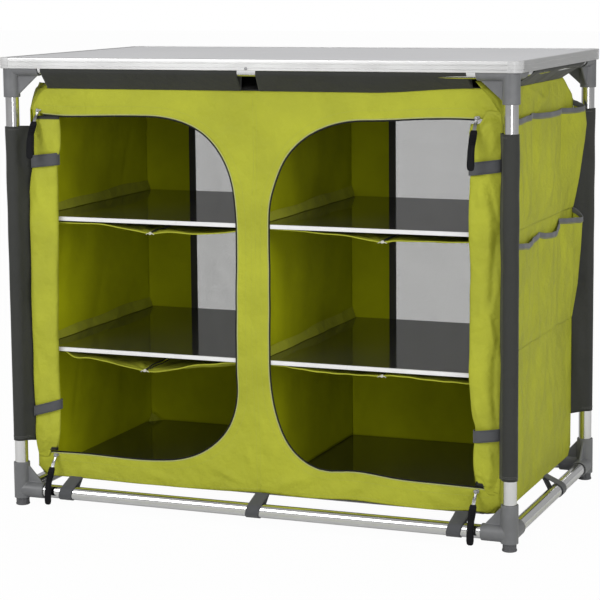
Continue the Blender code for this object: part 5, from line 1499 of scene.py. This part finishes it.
# Each pocket row in mm: its seams' y, its foot, its bound mouth as y, distance off the wall, height; and the
# rear edge's distance off the wall at seven heights from the foot to the mouth
POCKETS = {
    "upper": ((-57, 150), 545,
              ((-240, 0, 735), (-200, 5, 737), (-165, 6, 738.5), (-120, 6, 739.5), (-85, 4, 740.5),
               (-57, 0, 741.5), (-35, 5, 740), (8, 8, 738.5), (75, 7, 736.5), (120, 4, 736.5),
               (150, 0, 737.5), (168, 8, 736.5), (205, 16, 735), (236, 23, 736.5), (241.5, 24, 737.5),
               (244, 19, 740), (245.5, 9, 744), (246.2, 0, 748)),
              (2, 9, 15, 20, 25, 28, 24)),
    "lower": ((-10, 143), 330,
              ((-240, 0, 519), (-200, 5, 520), (-163, 7, 519), (-125, 8, 515), (-98, 8, 511.5),
               (-58, 5, 516.5), (-10, 0, 521.2), (12, 7, 516.8), (48, 8, 513.2), (87, 8, 511.5),
               (114, 5, 522), (143, 0, 529), (162, 8, 527), (210, 15, 523.5), (236, 21, 521.5),
               (241.5, 22, 522), (244, 18, 528), (245.5, 9, 536), (246.2, 0, 542)),
              (1, 7, 12, 15, 18, 20, 22)),
}


# Each fold of a pocket row, in mm: from y and a drop below the mouth to y and a rise above the foot, width, height
POCKET_FOLDS = ((-150, 10, -80, 30, 10, 2), (30, 20, 60, 20, 12, 2.2), (100, 80, 20, 10, 10, 1.8))


def build_pockets():
    """Two rows of three pockets: each is a sheet sewn down at its foot and its seams and bound along its top.

    A row's rear edge stands off the wall and turns back to it, so its last pocket gapes.
    """
    v = np.linspace(0, 1, 60)[:, None]
    for level, (seams, foot, mouth, rear_edge) in POCKETS.items():
        seams, foot, mouth = mm(seams), foot / 1000, mm(mouth)
        y = np.sort(np.concatenate([np.linspace(-0.240, 0.2415, 180), seams, np.linspace(0.2415, 0.2462, 15)[1:]]))
        stand, top = (smoothed(np.interp(y, mouth[:, 0], mouth[:, i]), 9) for i in (1, 2))
        stand, top = stand * np.clip((0.2462 - y) / 0.0006, 0, 1), top + 0.0030
        rear = np.interp(v, np.linspace(0, 1, 7), np.array(rear_edge) / rear_edge[-1])
        near_rear = ease((y - seams[1] - 0.02) / 0.06)
        bulge = stand * (np.sin(math.pi / 2 * v ** 0.8) * (1 - near_rear) + rear * near_rear)
        z = foot + (top - foot) * v
        fold = ripples(y, z * 0.5, 91 if level == "upper" else 92, 0.060, 0.0007)
        high, low = z.max(), z.min()
        for a, down, b, up, width, height in mm(POCKET_FOLDS):
            fold = fold + crease(y, z, (a, high - down), (b, low + up), width, height)
        sewn = np.clip(bulge / 0.004, 0, 1) * np.clip((0.2462 - y) / 0.02, 0, 1)
        grid = side_point(1, y, z, CLOTH / 2 + 0.0009)
        grid[..., 0] += np.maximum(bulge + fold * sewn, 0)
        cloth_piece("pocket_cloth_" + level, grid, grid_of(y, z), green_cloth, 0.0009, (0.486 + 0.06, 0.195),
                    held="stretched", rests_on=["cloth_side_right"], replaces=("pocket_" + level,))
        edge = grid[-1]
        facing = unit(np.cross(np.gradient(edge, axis=0), (0, 0, 1.0)))
        facing = facing * np.sign(facing[:, :1] + 1e-9)
        band = sweep(edge + (0, 0, -0.0030), (0, 0, 1), slab_profile(0.0110, 0.0026))
        solid_piece("pocket_binding_" + level, [band], pocket_tape)
        row = edge + facing * 0.0013 + (0, 0, -0.0066)
        rows = [stitches(row[y < 0.240], facing[y < 0.240], 0.0032, 0.0022, 0.0005, 0.0004)]
        for seam in seams:
            up_seam = np.linspace(foot + 0.003, float(np.interp(seam, y, top)) - 0.010, 60)
            rows.append(stitches(side_point(1, seam, up_seam, CLOTH / 2 + 0.0014), (1, 0, 0), height=0.0004))
        along_foot = side_point(1, np.linspace(-0.238, 0.240, 200), foot + 0.0035, CLOTH / 2 + 0.0014)
        rows.append(stitches(along_foot, (1, 0, 0), height=0.0004))
        sewn_piece("pocket_stitching_" + level, rows, stitch_green)


# Camera, light and floor

WORLD_LEVEL = 0.40
LAMPS = (("key_lamp", (-1.9, -3.6, 2.4), (0.0, 0.0, 0.45), (2.2, 2.0), 76.0),
         ("front_lamp", (2.2, -4.2, 1.2), (0.0, 0.0, 0.42), (1.6, 1.6), 28.0),
         ("fill_lamp", (4.2, -2.2, 2.2), (0.1, 0.0, 0.45), (2.0, 2.0), 62.0),
         ("top_lamp", (0.2, 0.6, 3.6), (0.0, 0.0, 0.80), (3.0, 2.0), 26.0))


def build_view():
    """The photograph's camera, a pale floor, a pale surround and soft lamps."""
    scene = bpy.context.scene
    scene.view_settings.view_transform = "Standard"
    data = bpy.data.cameras.new("photo_camera")
    data.sensor_width, data.lens = 36.0, 2054.95 / 600 * 36.0
    data.shift_y, data.clip_end = -0.1, 200.0
    scene.camera = linked("photo_camera", data)
    yaw, pitch, roll = 0.37657, 0.12916, -0.00912
    turn = Matrix.Rotation(yaw, 4, "Z") @ Matrix.Rotation(math.pi / 2 - pitch, 4, "X")
    turn = turn @ Matrix.Rotation(roll, 4, "Z")
    scene.camera.matrix_world = Matrix.Translation((1.42336, -3.63612, 0.99999)) @ turn
    corners = np.array([(-30, -30, 0), (30, -30, 0), (30, 30, 0), (-30, 30, 0)], float)
    floor = linked("studio_floor", raw_mesh("floor", corners, np.array([(0, 1, 2, 3)])))
    floor.data.materials.append(pale_floor())
    world = bpy.data.worlds.new("studio_surround")
    scene.world = world
    world.use_nodes = True
    tree = world.node_tree
    ground = tree.nodes["Background"]
    ground.inputs["Color"].default_value = (1.0, 1.0, 1.0, 1.0)
    strength = tree.nodes.new("ShaderNodeMapRange")
    strength.inputs["To Min"].default_value = WORLD_LEVEL
    strength.inputs["To Max"].default_value = 1.0
    tree.links.new(seen_directly(tree), strength.inputs["Value"])
    tree.links.new(strength.outputs[0], ground.inputs["Strength"])
    for name, place, aim, size, watts in LAMPS:
        lamp = bpy.data.lights.new(name, "AREA")
        lamp.shape, lamp.energy = "RECTANGLE", watts
        lamp.size, lamp.size_y = size
        holder = linked(name, lamp)
        holder.location = place
        holder.rotation_euler = (Vector(aim) - Vector(place)).to_track_quat("-Z", "Y").to_euler()


def seen_directly(tree):
    """1 for rays from the eye and through clear surfaces, and 0 for the rest."""
    path = tree.nodes.new("ShaderNodeLightPath")
    first = tree.nodes.new("ShaderNodeMath")
    first.operation = "MAXIMUM"
    tree.links.new(path.outputs["Is Camera Ray"], first.inputs[0])
    tree.links.new(path.outputs["Is Transmission Ray"], first.inputs[1])
    return first.outputs[0]


def pale_floor():
    """Pale floor: a matt paint, shown a little lighter to the eye so that only the object's shadow greys it."""
    s = Surface("pale_floor", (0.82, 0.82, 0.82), 0.9)
    glow = s.node("Emission", {"Color": (1, 1, 1, 1), "Strength": 1.0})
    factor = s.math("MULTIPLY", seen_directly(s.tree), 0.975)
    mixed = s.node("MixShader", {0: factor, 1: s.shader.outputs[0], 2: glow.outputs[0]})
    s.feed(s.tree.nodes["Material Output"], "Surface", mixed.outputs[0])
    return s.material


build_tubes()
build_connectors()
build_top()
build_feet()
build_boards()
build_zip_hardware()
build_front_and_rear()
build_sides_and_divider()
build_gussets()
build_rail_sleeves()
build_roof_and_floor()
build_loops()
build_leg_sleeves()
build_windows()
build_door_edges()
build_slings()
build_straps()
build_rolled_doors()
build_pockets()
build_view()
